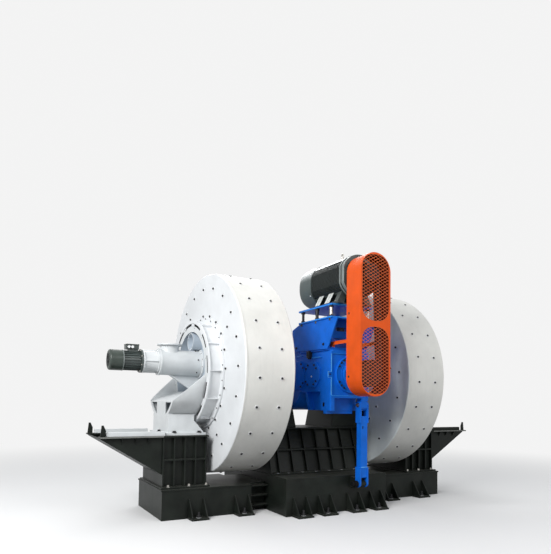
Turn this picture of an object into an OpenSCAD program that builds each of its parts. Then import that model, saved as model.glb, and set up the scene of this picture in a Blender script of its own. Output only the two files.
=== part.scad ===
// Twin-drum ball mill with a hollow-shaft gearbox, belt drive and end classifiers.
// Origin on the floor under the middle of the drum axis, X along that axis, Z up.

/* [Drums] */
// Height of the drum axis above the floor
axis_h = 2040; // [1950:10:2200]
// Outer diameter of both drums
drum_d = 3000; // [2600:10:3060]
// Distance from the middle of the mill to each drum
drum_start = 1014; // [1000:2:1030]
// Overall width of one drum
drum_w = 744; // [640:2:748]
// Thickness of the drum's end plates
head_t = 40; // [20:1:60]
// Chamfer round the rim of each drum
rim_chamfer = 10; // [4:1:20]
// Outer radius of the neck round the end opening
neck_r = 752; // [735:1:800]
// Wall of the neck
neck_wall = 16; // [10:1:25]
// Length of the neck
neck_len = 217; // [190:1:240]
// Outer radius of the neck's foot flange
neck_flange_r = 838; // [800:1:845]
// Thickness of the neck's flange
neck_flange_t = 26; // [15:1:40]
// Number of ribs round the neck
neck_ribs = 12; // [8:1:16]
// Height of the neck's ribs above its wall
neck_rib_h = 33; // [12:1:40]
// Thickness of the neck's ribs
neck_rib_t = 12; // [8:1:20]
// Thickness of the neck's end ring
neck_ring_t = 24; // [16:1:36]

/* [Main shaft] */
// Radius of the main shaft
shaft_r = 130; // [100:1:150]
// Radius of the flange that carries each drum
hub_r = 330; // [280:5:400]
// Thickness of the drum carrying flange
hub_t = 60; // [40:2:80]
// Gap between a turning shaft and its bore
running_gap = 0.08; // [0.02:0.02:0.1]

/* [Base] */
// Half length of the middle base box
mid_base_hx = 900; // [860:5:930]
// Half width of the middle base box
mid_base_hy = 1100; // [1000:10:1200]
// Height of the middle base box
mid_base_h = 530; // [500:5:535]
// Far end of the end base boxes
end_base_x = 2540; // [2520:5:2600]
// Inner end of the end base boxes
end_base_in = 1200; // [1160:5:1240]
// Half width of the end base boxes
end_base_hy = 600; // [560:5:640]
// Gap between the drums and the end base boxes
drum_clear = 128; // [80:2:180]
// Thickness of the top plate on each end base box
base_plate_t = 22; // [12:1:30]
// Height of the anchor feet
foot_h = 265; // [200:5:320]
// Reach of the anchor feet from the box
foot_reach = 190; // [150:5:240]
// Length of one anchor foot
foot_w = 250; // [220:5:280]
// Thickness of the anchor feet plates
foot_t = 25; // [16:1:35]
// Radius of the anchor bolt holes
anchor_hole_r = 19; // [12:1:24]

/* [Pedestals] */
// Inner end of the end pedestals
ped_in = 1870; // [1860:5:1900]
// Outer end of the end pedestals
ped_out = 2510; // [2480:5:2520]
// Half width of the end pedestals
ped_hy = 500; // [460:5:540]
// Depth of the end pedestals' top face below the drum axis
ped_drop = 910; // [880:5:940]
// Thickness of the pedestal plates
ped_t = 22; // [14:1:30]
// Depth of the pedestal ribs
ped_rib = 60; // [40:2:80]
// Step from the end of the middle base box to the middle pedestal
mid_ped_step = 10; // [5:1:40]
// Half width of the middle pedestal at its top
mid_ped_top_hy = 420; // [380:5:460]
// Half width of the middle pedestal at its foot
mid_ped_foot_hy = 640; // [600:5:700]
// Depth of the middle pedestal's top face below the drum axis
mid_ped_drop = 825; // [800:5:860]
// Distance between the ribs of the middle pedestal
mid_rib_pitch = 245; // [230:1:260]

/* [Side wings] */
// Reach of the wings from the middle of the mill
wing_x = 3330; // [3200:10:3450]
// Half width between the wings' side plates
wing_hy = 450; // [400:5:480]
// Height of the wings' side plates at the pedestal
wing_drop = 530; // [430:5:570]
// Thickness of the wing plates
wing_t = 18; // [10:1:25]
// Height of the rails on the wings
rail_h = 58; // [30:1:80]
// Width of the rails
rail_w = 60; // [40:1:70]

/* [Bearings] */
// Distance from the middle of the mill to each main bearing
bearing_x = 670; // [660:2:690]
// Length of the main bearing housings
bearing_len = 260; // [220:2:280]
// Outer radius of the main bearing housings
bearing_r = 300; // [260:2:340]
// Height of the bearing seats above the middle pedestal
seat_h = 430; // [400:5:450]
// Reach of the seats beyond the bearings toward the gearbox
seat_ledge_in = 115; // [80:5:130]
// Reach of the seats beyond the bearings toward the drums
seat_ledge_out = 90; // [60:5:100]
// Lean of the seats' inner faces
seat_lean = 90; // [0:5:110]

/* [End supports] */
// Outer end of the end supports
sup_out = 2405; // [2390:5:2420]
// Half width of the end supports' lower box
sup_hy = 372; // [350:2:390]
// Outer radius of the cradle shell
cradle_r = 704; // [690:1:712]
// Height of the cradle's outer corner below the drum axis
cradle_drop = 420; // [390:5:450]
// Height of the cradle's inner tip below the drum axis
tip_drop = 30; // [20:5:60]
// Rise of the cradle's sloping floor in degrees
floor_rise = 19; // [15:1:22]
// Half width of the lip in the cradle's front
lip_hy = 200; // [160:5:230]
// Thickness of the support plates
sup_t = 18; // [12:1:22]

/* [Classifiers] */
// Height of the classifier axis above the drum axis
cls_rise = 138; // [110:2:160]
// Radius of the classifier housing
cls_r = 188; // [170:1:200]
// Outer end of the classifier housing
cls_out = 2470; // [2430:5:2520]
// Radius of the outlet neck
outlet_r = 142; // [120:1:150]
// Bore radius of the outlet
outlet_bore_r = 130; // [100:1:134]
// Radius of the outlet flange
outlet_flange_r = 185; // [175:1:200]
// Height of the outlet flange's face above the drum axis
outlet_rise = 405; // [395:5:440]
// Distance from the middle of the mill to the outlet
outlet_x = 2295; // [2270:5:2320]
// Length of the motor adapter
adapter_len = 240; // [200:5:280]
// Radius of the motor adapter
adapter_r = 152; // [140:1:165]
// Length of the classifier motor without its cowl
cls_motor_len = 265; // [240:5:300]
// Radius of the classifier motor over its fins
cls_motor_r = 142; // [130:1:150]
// Length of the classifier motor's cowl
cls_cowl_len = 200; // [160:5:220]

/* [Gearbox] */
// Half width of the gearbox case
gear_hx = 310; // [300:1:318]
// Distance from the drum axis to the gearbox front
gear_front = 1360; // [1345:5:1380]
// Height of the gearbox top above the drum axis
gear_top = 340; // [320:5:360]
// Depth of the gearbox bottom below the drum axis
gear_bottom = 540; // [520:5:560]
// Radius of the gearbox round the hollow shaft
gear_hub_r = 550; // [520:5:570]
// Depth of the pocket's roof below the drum axis
pocket_drop = 355; // [340:5:370]
// Distance from the drum axis to the first side cover
cover_a_y = 870; // [860:5:880]
// Width of the first side cover
cover_a_w = 370; // [340:5:380]
// Distance from the drum axis to the second side cover
cover_b_y = 395; // [380:5:405]
// Width of the second side cover
cover_b_w = 420; // [380:5:430]
// Radius of the round input flange
input_r = 270; // [240:5:290]
// Radius of the input shaft
input_shaft_r = 45; // [35:1:55]

/* [Torque arm] */
// Distance of the torque arm from the mill's middle plane
arm_x = 270; // [262:2:272]
// Distance of the torque arm from the drum axis
arm_y = 1300; // [1280:5:1320]
// Depth of the torque arm's upper pin below the drum axis
arm_head_drop = 455; // [440:5:460]
// Width of the lugs between the torque arm's cheeks
arm_eye_w = 106; // [90:2:110]
// Width of the torque arm
arm_w = 120; // [100:2:130]
// Depth of the torque arm
arm_d = 100; // [80:2:110]
// Thickness of the cheeks at both ends of the torque arm
cheek_t = 24; // [16:1:28]
// Radius of the torque arm pins
arm_pin_r = 22; // [16:1:26]

/* [Motor platform] */
// Half width of the motor platform
plat_hx = 370; // [360:5:390]
// Front edge of the motor platform from the drum axis
plat_front = 1410; // [1395:5:1425]
// Rear edge of the motor platform from the drum axis
plat_rear = 505; // [490:5:520]
// Height of the fixed plate's top face above the drum axis
low_plate_rise = 820; // [780:5:840]
// Height of the motor plate's top face above the drum axis
top_plate_rise = 1005; // [980:5:1020]
// Thickness of both plates
plate_t = 26; // [18:1:32]
// Radius of the adjusting screws
screw_r = 20; // [14:1:24]

/* [Main motor] */
// Height of the motor axis above the motor plate
motor_rise = 395; // [385:5:415]
// Radius of the motor over its upper fins
motor_r = 312; // [300:1:318]
// Half width of the motor over its side fins
motor_hx = 288; // [275:1:295]
// Rear end of the fan cowl from the drum axis
cowl_y = 335; // [320:5:400]
// Joint between cowl and body from the drum axis
motor_rear = 720; // [700:5:760]
// Front end of the finned body from the drum axis
motor_front = 1470; // [1450:5:1490]
// Length of the motor's drive end shield
shield_len = 110; // [80:5:120]
// Radius of the motor shaft
motor_shaft_r = 42; // [32:1:50]
// Distance between the fins of the main motor
fin_pitch = 18; // [16:1:26]

/* [Belt drive] */
// Front face of the guard from the drum axis
guard_front = 1930; // [1915:5:1940]
// Rear face of the guard from the drum axis
guard_rear = 1615; // [1600:5:1625]
// Half width of the guard
guard_hx = 262; // [255:1:280]
// Depth of the guard's lower round centre below the drum axis
guard_drop = 68; // [50:2:80]
// Thickness of the guard's sheet
guard_t = 6; // [3:1:8]
// Width of the guard's frame round its windows
guard_rim = 26; // [18:1:40]
// Width of one diamond of the guard's mesh
mesh_w = 56; // [50:2:80]
// Height of one diamond of the guard's mesh
mesh_h = 35; // [32:1:50]
// Width of the strands of the guard's mesh
strand_w = 5; // [3:0.5:7]
// Radius of the motor pulley
motor_pulley_r = 132; // [110:1:140]
// Radius of the gearbox pulley
gear_pulley_r = 190; // [150:1:200]
// Number of belts
belts = 6; // [3:1:6]
// Distance between belts
belt_pitch = 24; // [22:1:26]
// Width of one belt
belt_w = 17; // [12:1:17]
// Thickness of one belt
belt_t = 12; // [8:1:14]
// Gap between a belt and its groove
groove_gap = 1; // [0.5:0.5:1.5]

/* [Hidden] */
$fn = 96;

drum_r = drum_d / 2;
drum_end = drum_start + drum_w;
neck_end = drum_end + neck_len;
neck_bore_r = neck_r - neck_wall;
end_base_top = axis_h - drum_r - drum_clear;
end_base_h = end_base_top - base_plate_t;
ped_top = axis_h - ped_drop;
mid_ped_top = axis_h - mid_ped_drop;
mid_ped_hx = mid_base_hx - mid_ped_step;
wing_low = ped_top - wing_drop;
low_plate_top = axis_h + low_plate_rise;
top_plate_top = axis_h + top_plate_rise;
motor_h = top_plate_top + motor_rise;
guard_low = axis_h - guard_drop;

// Clearance between the still cover and the turning neck
cover_gap = 20;
cover_r = neck_bore_r - cover_gap;
cover_t = 22;
cover_front = neck_end - 28;
cover_back = drum_end + 42;
dish_r = cover_r - 84;
cls_z = axis_h + cls_rise;
cls_in = cover_back + cover_t;

// Feed pipe in the end cover, clear of the classifier housing below it
feed_r = 130;
feed_bore_r = 118;
feed_gap = 9;
feed_rise = cls_rise + cls_r + feed_r + feed_gap;

sup_foot_t = 34;
sup_in = cover_front + cover_t;
guard_high = motor_h;

cream = [0.88, 0.89, 0.89];
black = [0.09, 0.10, 0.10];
blue = [0.05, 0.30, 0.78];
orange = [0.93, 0.33, 0.10];
steel = [0.60, 0.61, 0.62];
motor_grey = [0.16, 0.20, 0.18];
cowl_grey = [0.55, 0.58, 0.56];

// Block between two corners
module block(a, b) {
    translate(a) cube(b - a);
}

// Round bar along X from x0 to x1
module bar_x(x0, x1, r) {
    translate([x0, 0, 0]) rotate([0, 90, 0]) cylinder(h = x1 - x0, r = r);
}

// Round bar along Y from y0 to y1
module bar_y(y0, y1, r) {
    translate([0, y0, 0]) rotate([-90, 0, 0]) cylinder(h = y1 - y0, r = r);
}

// Outline in Y and Z made a plate from x0 to x0 + t
module plate_x(x0, t) {
    translate([x0, 0, 0]) rotate([90, 0, 90]) linear_extrude(t) children();
}

// Outline in X and Z made a plate from y0 to y0 + t
module plate_y(y0, t) {
    translate([0, y0 + t, 0]) rotate([90, 0, 0]) linear_extrude(t) children();
}

// The same shape on the other side of the drum axis
module both_y() {
    children();
    mirror([0, 1, 0]) children();
}

// The same shape at the other end of the mill
module both_x() {
    children();
    mirror([1, 0, 0]) children();
}

module at_axis() {
    translate([0, 0, axis_h]) children();
}

// Anchor foot on the box face at y = 0, reaching toward -Y
module anchor_foot() {
    gusset_t = 16;
    difference() {
        block([-foot_w / 2, -foot_reach, 0], [foot_w / 2, 0, foot_t]);
        translate([0, -foot_reach * 0.55, -1]) cylinder(h = foot_t + 2, r = anchor_hole_r);
    }
    for (x = [-foot_w / 2 + 12, foot_w / 2 - 12 - gusset_t])
        rotate([90, 0, 90]) translate([0, 0, x]) linear_extrude(gusset_t)
            polygon([[0, foot_t], [0, foot_h], [-18, foot_h], [-foot_reach + 10, foot_t]]);
}

module base_middle() {
    color(black) {
        block([-mid_base_hx, -mid_base_hy, 0], [mid_base_hx, mid_base_hy, mid_base_h]);
        arm_bracket();
    }
}

mid_foot_x = [-680, -260, 260, 680];
end_foot_x = [1360, 2050];

// Lug on the middle base box that holds the torque arm's lower pin
module arm_bracket() {
    x0 = arm_x - arm_eye_w / 2;
    difference() {
        plate_x(x0, arm_eye_w) polygon([
            [-mid_base_hy, arm_foot_z - 95], [-mid_base_hy, arm_foot_z + 80],
            [-arm_y, arm_foot_z + 48], [-arm_y - 46, arm_foot_z + 12],
            [-arm_y - 46, arm_foot_z - 20], [-arm_y, arm_foot_z - 48]]);
        translate([0, -arm_y, arm_foot_z]) bar_x(x0 - 1, x0 + arm_eye_w + 1, arm_pin_r + running_gap);
    }
}

// End base box, link web and rungs, drawn for the end at +X
module base_end() {
    link_hy = end_base_hy - 170;
    rung_t = 18;
    block([end_base_in, -end_base_hy, 0], [end_base_x, end_base_hy, end_base_h]);
    block([end_base_in, -end_base_hy - 12, end_base_h], [end_base_x + 12, end_base_hy + 12, end_base_top]);
    block([mid_base_hx, -link_hy, 0], [end_base_in, link_hy, end_base_top]);
    both_y() for (f = [0.22, 0.56, 0.9])
        translate([0, 0, f * end_base_top])
            block([mid_base_hx, -end_base_hy + 40, -rung_t / 2], [end_base_in, -link_hy, rung_t / 2]);
}

module anchor_feet() {
    color(black) both_y() {
        for (x = mid_foot_x) translate([x, -mid_base_hy, 0]) anchor_foot();
        both_x() for (x = end_foot_x) translate([x, -end_base_hy, 0]) anchor_foot();
    }
}

module base_left() {
    color(black) mirror([1, 0, 0]) base_end();
}

module base_right() {
    color(black) base_end();
}

// End pedestal with outside ribs, drawn for the end at +X
module pedestal_end() {
    foot_z = end_base_top;
    core_hy = ped_hy - ped_rib;
    mid_z = foot_z + (ped_top - foot_z) * 0.52;
    rib_step = (ped_out - ped_in - ped_t) / 4;
    block([ped_in, -core_hy, foot_z], [ped_out, core_hy, ped_top]);
    block([ped_in - 30, -ped_hy - 60, foot_z], [ped_out + 30, ped_hy + 60, foot_z + ped_t]);
    block([ped_in - 20, -ped_hy - 25, ped_top - ped_t], [ped_out, ped_hy + 25, ped_top]);
    both_y() {
        for (i = [0:4]) translate([ped_in + i * rib_step, 0, 0])
            block([0, -ped_hy, foot_z], [ped_t, -core_hy, ped_top]);
        block([ped_in, -ped_hy, mid_z], [ped_out, -core_hy, mid_z + ped_t]);
    }
}

module pedestal_left() {
    color(black) mirror([1, 0, 0]) pedestal_end();
}

module pedestal_right() {
    color(black) pedestal_end();
}

// Half width of the middle pedestal's ribbed faces at height z
function mid_ped_hy(z) = mid_ped_foot_hy
    + (mid_ped_top_hy - mid_ped_foot_hy) * (z - mid_base_h) / (mid_ped_top - mid_base_h);

module pedestal_middle() {
    ribs = floor((mid_ped_hx - ped_t) / mid_rib_pitch);
    low = mid_base_h;
    high = mid_ped_top - ped_t / 2;
    mid_z = (mid_base_h + mid_ped_top) / 2;
    color(black) {
        plate_x(-mid_ped_hx, 2 * mid_ped_hx) polygon([
            [-mid_ped_hy(low) + ped_rib, low], [mid_ped_hy(low) - ped_rib, low],
            [mid_ped_hy(high) - ped_rib, high], [-mid_ped_hy(high) + ped_rib, high]]);
        for (x = concat([for (i = [-ribs:ribs]) i * mid_rib_pitch],
                [-mid_ped_hx + ped_t / 2, mid_ped_hx - ped_t / 2]))
            plate_x(x - ped_t / 2, ped_t) polygon([
                [-mid_ped_hy(low), low], [mid_ped_hy(low), low],
                [mid_ped_hy(high), high], [-mid_ped_hy(high), high]]);
        plate_x(-mid_ped_hx, 2 * mid_ped_hx) polygon([
            [-mid_ped_hy(mid_z) + 3, mid_z], [mid_ped_hy(mid_z) - 3, mid_z],
            [mid_ped_hy(mid_z + ped_t) - 3, mid_z + ped_t], [-mid_ped_hy(mid_z + ped_t) + 3, mid_z + ped_t]]);
        block([-mid_ped_hx, -mid_ped_foot_hy - 50, low], [mid_ped_hx, mid_ped_foot_hy + 50, low + ped_t]);
        block([-mid_ped_hx, -mid_ped_top_hy - 20, mid_ped_top - ped_t],
            [mid_ped_hx, mid_ped_top_hy + 20, mid_ped_top]);
    }
}

// Triangular bracket beyond the end pedestal, drawn for the end at +X
module wing_end() {
    tip_h = 34;
    top_t = 20;
    z1 = ped_top;
    both_y() {
        plate_y(-wing_hy - wing_t, wing_t) polygon([
            [ped_out, wing_low], [wing_x, z1 - tip_h], [wing_x, z1 - top_t], [ped_out, z1 - top_t]]);
        block([ped_out, -wing_hy - 85, z1 - top_t], [wing_x + 20, -wing_hy + 60, z1]);
        for (x = wing_gusset_x)
            rotate([90, 0, 90]) translate([0, 0, x]) linear_extrude(14)
                polygon([[-wing_hy - wing_t, z1 - top_t], [-wing_hy - 75, z1 - top_t],
                    [-wing_hy - wing_t, z1 - top_t - 90]]);
        plate_y(-wing_hy - 40, 16) polygon([
            [wing_x - 60, z1], [wing_x + 10, z1], [wing_x - 5, z1 + 150], [wing_x - 30, z1 + 150],
            [wing_x - 62, z1 + 80]]);
    }
    plate_y(-wing_hy, 2 * wing_hy) polygon([
        [ped_out, wing_low], [wing_x, z1 - tip_h], [wing_x, z1 - tip_h + wing_t],
        [ped_out, wing_low + wing_t]]);
}

wing_gusset_x = [for (f = [0.23, 0.44, 0.66]) ped_out + f * (wing_x - ped_out)];

module wing_left() {
    color(black) mirror([1, 0, 0]) wing_end();
}

module wing_right() {
    color(black) wing_end();
}

// Pair of rails on the wing, drawn for the end at +X
module rails_end() {
    rail_in = sup_out + 70;
    both_y() block([rail_in, -wing_hy - rail_w / 2 + 12, ped_top],
        [wing_x - 80, -wing_hy + rail_w / 2 + 12, ped_top + rail_h]);
}

module rails_left() {
    color(cream) mirror([1, 0, 0]) rails_end();
}

module rails_right() {
    color(cream) rails_end();
}

// Stand of a main bearing with slanted inner face, drawn for the end at +X
module bearing_seat_end() {
    in_x = bearing_x - bearing_len / 2 - seat_ledge_in;
    out_x = bearing_x + bearing_len / 2 + seat_ledge_out;
    z1 = mid_ped_top + seat_h;
    hy = mid_ped_top_hy - 20;
    plate_y(-hy, 2 * hy) polygon([
        [in_x - seat_lean, mid_ped_top], [out_x, mid_ped_top], [out_x - seat_lean / 3, z1], [in_x, z1]]);
}

module bearing_seat_left() {
    color(black) mirror([1, 0, 0]) bearing_seat_end();
}

module bearing_seat_right() {
    color(black) bearing_seat_end();
}

// Split bearing housing on its stand, drawn for the end at +X
module main_bearing_end() {
    low = mid_ped_top + seat_h - axis_h;
    base_hy = mid_ped_top_hy - 30;
    x0 = bearing_x - bearing_len / 2;
    x1 = bearing_x + bearing_len / 2;
    at_axis() difference() {
        union() {
            bar_x(x0 + 20, x1 - 20, bearing_r);
            bar_x(x0, x1, bearing_r - 60);
            block([x0, -base_hy, low], [x1, base_hy, low + 60]);
            block([x0 + 20, -bearing_r, low], [x1 - 20, bearing_r, 0]);
            block([x0 + 40, -bearing_r - 50, -35], [x1 - 40, bearing_r + 50, 35]);
        }
        bar_x(x0 - 1, x1 + 1, shaft_r + running_gap);
    }
}

module main_bearing_left() {
    color(blue) mirror([1, 0, 0]) main_bearing_end();
}

module main_bearing_right() {
    color(blue) main_bearing_end();
}

// Half shell round the drum axis, cut off along a slope, with radius r from x0 to x1
module cradle_shell(x0, x1, r) {
    intersection() {
        at_axis() bar_x(x0, x1, r);
        plate_y(-cradle_r - 1, 2 * cradle_r + 2) polygon([
            [sup_in - 1, axis_h - cradle_r - 1], [sup_out + 1, axis_h - cradle_r - 1],
            [sup_out + 1, axis_h - cradle_drop], [sup_out, axis_h - cradle_drop],
            [sup_in, axis_h - tip_drop], [sup_in - 1, axis_h - tip_drop]]);
    }
}

// Cradle that carries the still end cover and the classifier, drawn for the end at +X
module end_support_end() {
    z0 = ped_top;
    z1 = ped_top + sup_foot_t;
    box_in = sup_in + 55;
    gusset_top = z1 + 170;
    inner_r = cradle_r - sup_t;
    rim_r = cradle_r - 46;
    floor_front = axis_h - cradle_drop - 30;
    floor_back = floor_front + (sup_out - sup_in) * tan(floor_rise);
    block([ped_in - 10, -sup_hy - 45, z0], [sup_out + 40, sup_hy + 45, z1]);
    difference() {
        union() {
            cradle_shell(sup_in, sup_out, cradle_r);
            block([box_in, -sup_hy, z1], [sup_out, sup_hy, axis_h - inner_r * 0.9]);
        }
        at_axis() bar_x(sup_in - 1, sup_out - sup_t, inner_r);
        at_axis() bar_x(sup_out - sup_t - 1, sup_out + 1, rim_r);
    }
    both_y() plate_y(-sup_hy, sup_t) polygon([
        [box_in + 5, z1], [box_in + 5, gusset_top], [box_in, gusset_top],
        [ped_in + 10, z1 + 8], [ped_in + 10, z1]]);
    intersection() {
        at_axis() bar_x(sup_in, sup_out, inner_r + sup_t / 2);
        union() {
            plate_y(-cradle_r, 2 * cradle_r) polygon([
                [sup_in, floor_back], [sup_out - 1, floor_front], [sup_out - 1, floor_front + sup_t],
                [sup_in, floor_back + sup_t]]);
            block([sup_out - sup_t, -lip_hy, axis_h - cradle_r],
                [sup_out - 1, lip_hy, floor_front + sup_t / 2]);
        }
    }
}

module end_support_left() {
    color(cream) mirror([1, 0, 0]) end_support_end();
}

module end_support_right() {
    color(cream) end_support_end();
}

// Still dished cover in the drum's opening with the feed pipe, drawn for the end at +X
module end_cover_end() {
    at_axis() {
        rotate([0, 90, 0]) rotate_extrude() polygon([
            [dish_r - cover_t, cover_back], [dish_r, cover_back],
            [dish_r, cover_front], [cover_r, cover_front], [cover_r, cover_front + cover_t],
            [dish_r - cover_t, cover_front + cover_t]]);
        bar_x(cover_back, cls_in, dish_r);
        translate([0, 0, feed_rise]) difference() {
            bar_x(cover_back, neck_end, feed_r);
            bar_x(cls_in, neck_end + 1, feed_bore_r);
        }
    }
}

module end_cover_left() {
    color(cream) mirror([1, 0, 0]) end_cover_end();
}

module end_cover_right() {
    color(cream) end_cover_end();
}

// Classifier housing with its outlet, drawn for the end at +X
module classifier_housing_end() {
    flange_t = 24;
    outlet_flange_t = 20;
    out_z = outlet_rise - cls_rise;
    translate([0, 0, cls_z]) difference() {
        union() {
            housing_rib();
            bar_x(cls_in, cls_out, cls_r);
            bar_x(cls_in, cls_in + flange_t, cls_r + 34);
            bar_x(cls_out - flange_t, cls_out, cls_r + 8);
            translate([outlet_x, 0, 0]) cylinder(h = out_z, r = outlet_r);
            translate([outlet_x, 0, out_z - outlet_flange_t]) cylinder(h = outlet_flange_t, r = outlet_flange_r);
        }
        translate([outlet_x, 0, -60]) cylinder(h = out_z + 61, r = outlet_bore_r);
        translate([0, 0, feed_rise - cls_rise]) bar_x(cls_in - 1, cls_in + flange_t + 1, feed_r + feed_gap);
        for (a = [0:45:315])
            translate([outlet_x, 0, out_z - outlet_flange_t - 1])
                rotate([0, 0, a + 22.5]) translate([outlet_pcr, 0, 0])
                    cylinder(h = outlet_flange_t + 2, r = outlet_hole_r);
    }
}

// Rib with a flange between the housing's underside and the end cover
module housing_rib() {
    rib_t = 16;
    rib_w = 64;
    low = -cls_rise - 330;
    tip = outlet_x - 5;
    plate_y(-rib_t / 2, rib_t) polygon([[cls_in, low], [cls_in, 0], [tip, 0], [tip, -cls_r + 8]]);
    plate_y(-rib_w / 2, rib_w) polygon([
        [cls_in, low - 12], [cls_in, low + 12], [tip, -cls_r + 20], [tip + rib_t, -cls_r + 8]]);
}

outlet_pcr = (outlet_r + outlet_flange_r) / 2;
outlet_hole_r = 7;

module classifier_housing_left() {
    color(cream) mirror([1, 0, 0]) classifier_housing_end();
}

module classifier_housing_right() {
    color(cream) classifier_housing_end();
}

// Distance piece between housing and motor, drawn for the end at +X
module motor_adapter_end() {
    x0 = cls_out;
    x1 = cls_out + adapter_len;
    rim_r = adapter_r + 18;
    rim_t = 22;
    translate([0, 0, cls_z]) {
        bar_x(x0, x1, adapter_r);
        bar_x(x0, x0 + rim_t, rim_r);
        bar_x(x1 - rim_t, x1, rim_r);
        for (a = [0:90:270]) rotate([a, 0, 0]) block([x0, -7, 0], [x1, 7, rim_r - 4]);
    }
}

module motor_adapter_left() {
    color(cream) mirror([1, 0, 0]) motor_adapter_end();
}

module motor_adapter_right() {
    color(cream) motor_adapter_end();
}

// Finned cylinder along X from x0 to x1
module finned_body(x0, x1, r, fin_h, fins, fin_t) {
    plate_x(x0, x1 - x0) union() {
        circle(r = r - fin_h);
        for (i = [0:fins - 1])
            rotate(i * 360 / fins) translate([r - 1.5 * fin_h, -fin_t / 2]) square([1.5 * fin_h, fin_t]);
    }
}

cls_motor_x = cls_out + adapter_len;

module classifier_motor_end() {
    flange_t = 24;
    x0 = cls_motor_x;
    x1 = cls_motor_x + cls_motor_len;
    translate([0, 0, cls_z]) {
        bar_x(x0, x0 + flange_t, adapter_r + 18);
        finned_body(x0 + flange_t, x1, cls_motor_r, 16, 24, 5);
        block([x0 + 60, -55, cls_motor_r - 30], [x0 + 190, 55, cls_motor_r + 66]);
    }
}

module classifier_motor_left() {
    color(motor_grey) mirror([1, 0, 0]) classifier_motor_end();
}

module classifier_motor_right() {
    color(motor_grey) classifier_motor_end();
}

// Fan cowl with a rounded end, from x0 outward
module fan_cowl(len, r, round_r) {
    rotate([0, 90, 0]) rotate_extrude() union() {
        square([r - round_r, len]);
        square([r, len - round_r]);
        translate([r - round_r, len - round_r]) circle(r = round_r);
    }
}

module classifier_cowl_end() {
    translate([cls_motor_x + cls_motor_len, 0, cls_z]) fan_cowl(cls_cowl_len, cls_motor_r + 5, 30);
}

module classifier_cowl_left() {
    color(cowl_grey) mirror([1, 0, 0]) classifier_cowl_end();
}

module classifier_cowl_right() {
    color(cowl_grey) classifier_cowl_end();
}

// Closed drum body between its end plates, drawn for the end at +X
module drum_shell_end() {
    at_axis() bar_x(drum_start + head_t, drum_end - head_t, drum_r);
}

module drum_shell_left() {
    color(cream) mirror([1, 0, 0]) drum_shell_end();
}

module drum_shell_right() {
    color(cream) drum_shell_end();
}

// End plate with a chamfered rim, its outer face at x and facing dir
module drum_head(x, dir) {
    at_axis() translate([x, 0, 0]) mirror([dir > 0 ? 1 : 0, 0, 0]) rotate([0, 90, 0])
        rotate_extrude() polygon([
            [0, 0], [drum_r - rim_chamfer, 0], [drum_r, rim_chamfer], [drum_r, head_t], [0, head_t]]);
}

module outer_head_left() {
    color(cream) drum_head(-drum_end, -1);
}

module outer_head_right() {
    color(cream) drum_head(drum_end, 1);
}

module inner_head_left() {
    color(cream) drum_head(-drum_start, 1);
}

module inner_head_right() {
    color(cream) drum_head(drum_start, -1);
}

// Ribbed neck round the drum's end opening, drawn for the end at +X
module neck_end_ring() {
    at_axis() {
        difference() {
            union() {
                bar_x(drum_end, neck_end, neck_r);
                bar_x(drum_end, drum_end + neck_flange_t, neck_flange_r);
                bar_x(neck_end - neck_ring_t, neck_end, neck_r + neck_rib_h);
            }
            bar_x(drum_end - 1, neck_end + 1, neck_bore_r);
        }
        for (i = [0:neck_ribs - 1]) rotate([i * 360 / neck_ribs, 0, 0])
            block([drum_end, -neck_rib_t / 2, neck_r - neck_wall / 2],
                [neck_end - neck_ring_t / 2, neck_rib_t / 2, neck_r + neck_rib_h]);
    }
}

module neck_left() {
    color(cream) mirror([1, 0, 0]) neck_end_ring();
}

module neck_right() {
    color(cream) neck_end_ring();
}

module main_shaft() {
    color(steel) at_axis() {
        bar_x(-drum_start, drum_start, shaft_r);
        both_x() bar_x(drum_start - hub_t, drum_start, hub_r);
    }
}

// Bolted cover with cut corners on the gearbox side
module side_cover(y, af, t) {
    c = af * 0.29;
    plate_x(gear_hx, t) translate([y, axis_h]) polygon([
        [-af / 2, -af / 2 + c], [-af / 2 + c, -af / 2], [af / 2 - c, -af / 2], [af / 2, -af / 2 + c],
        [af / 2, af / 2 - c], [af / 2 - c, af / 2], [-af / 2 + c, af / 2], [-af / 2, af / 2 - c]]);
}

pocket_z = axis_h - pocket_drop;
belly_z = axis_h - gear_bottom / 2;
input_z = axis_h - 10;
input_depth = 260;
// Depth of the shallow panel in the gearbox front, into which the input flange fits
panel_d = 10;

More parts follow.
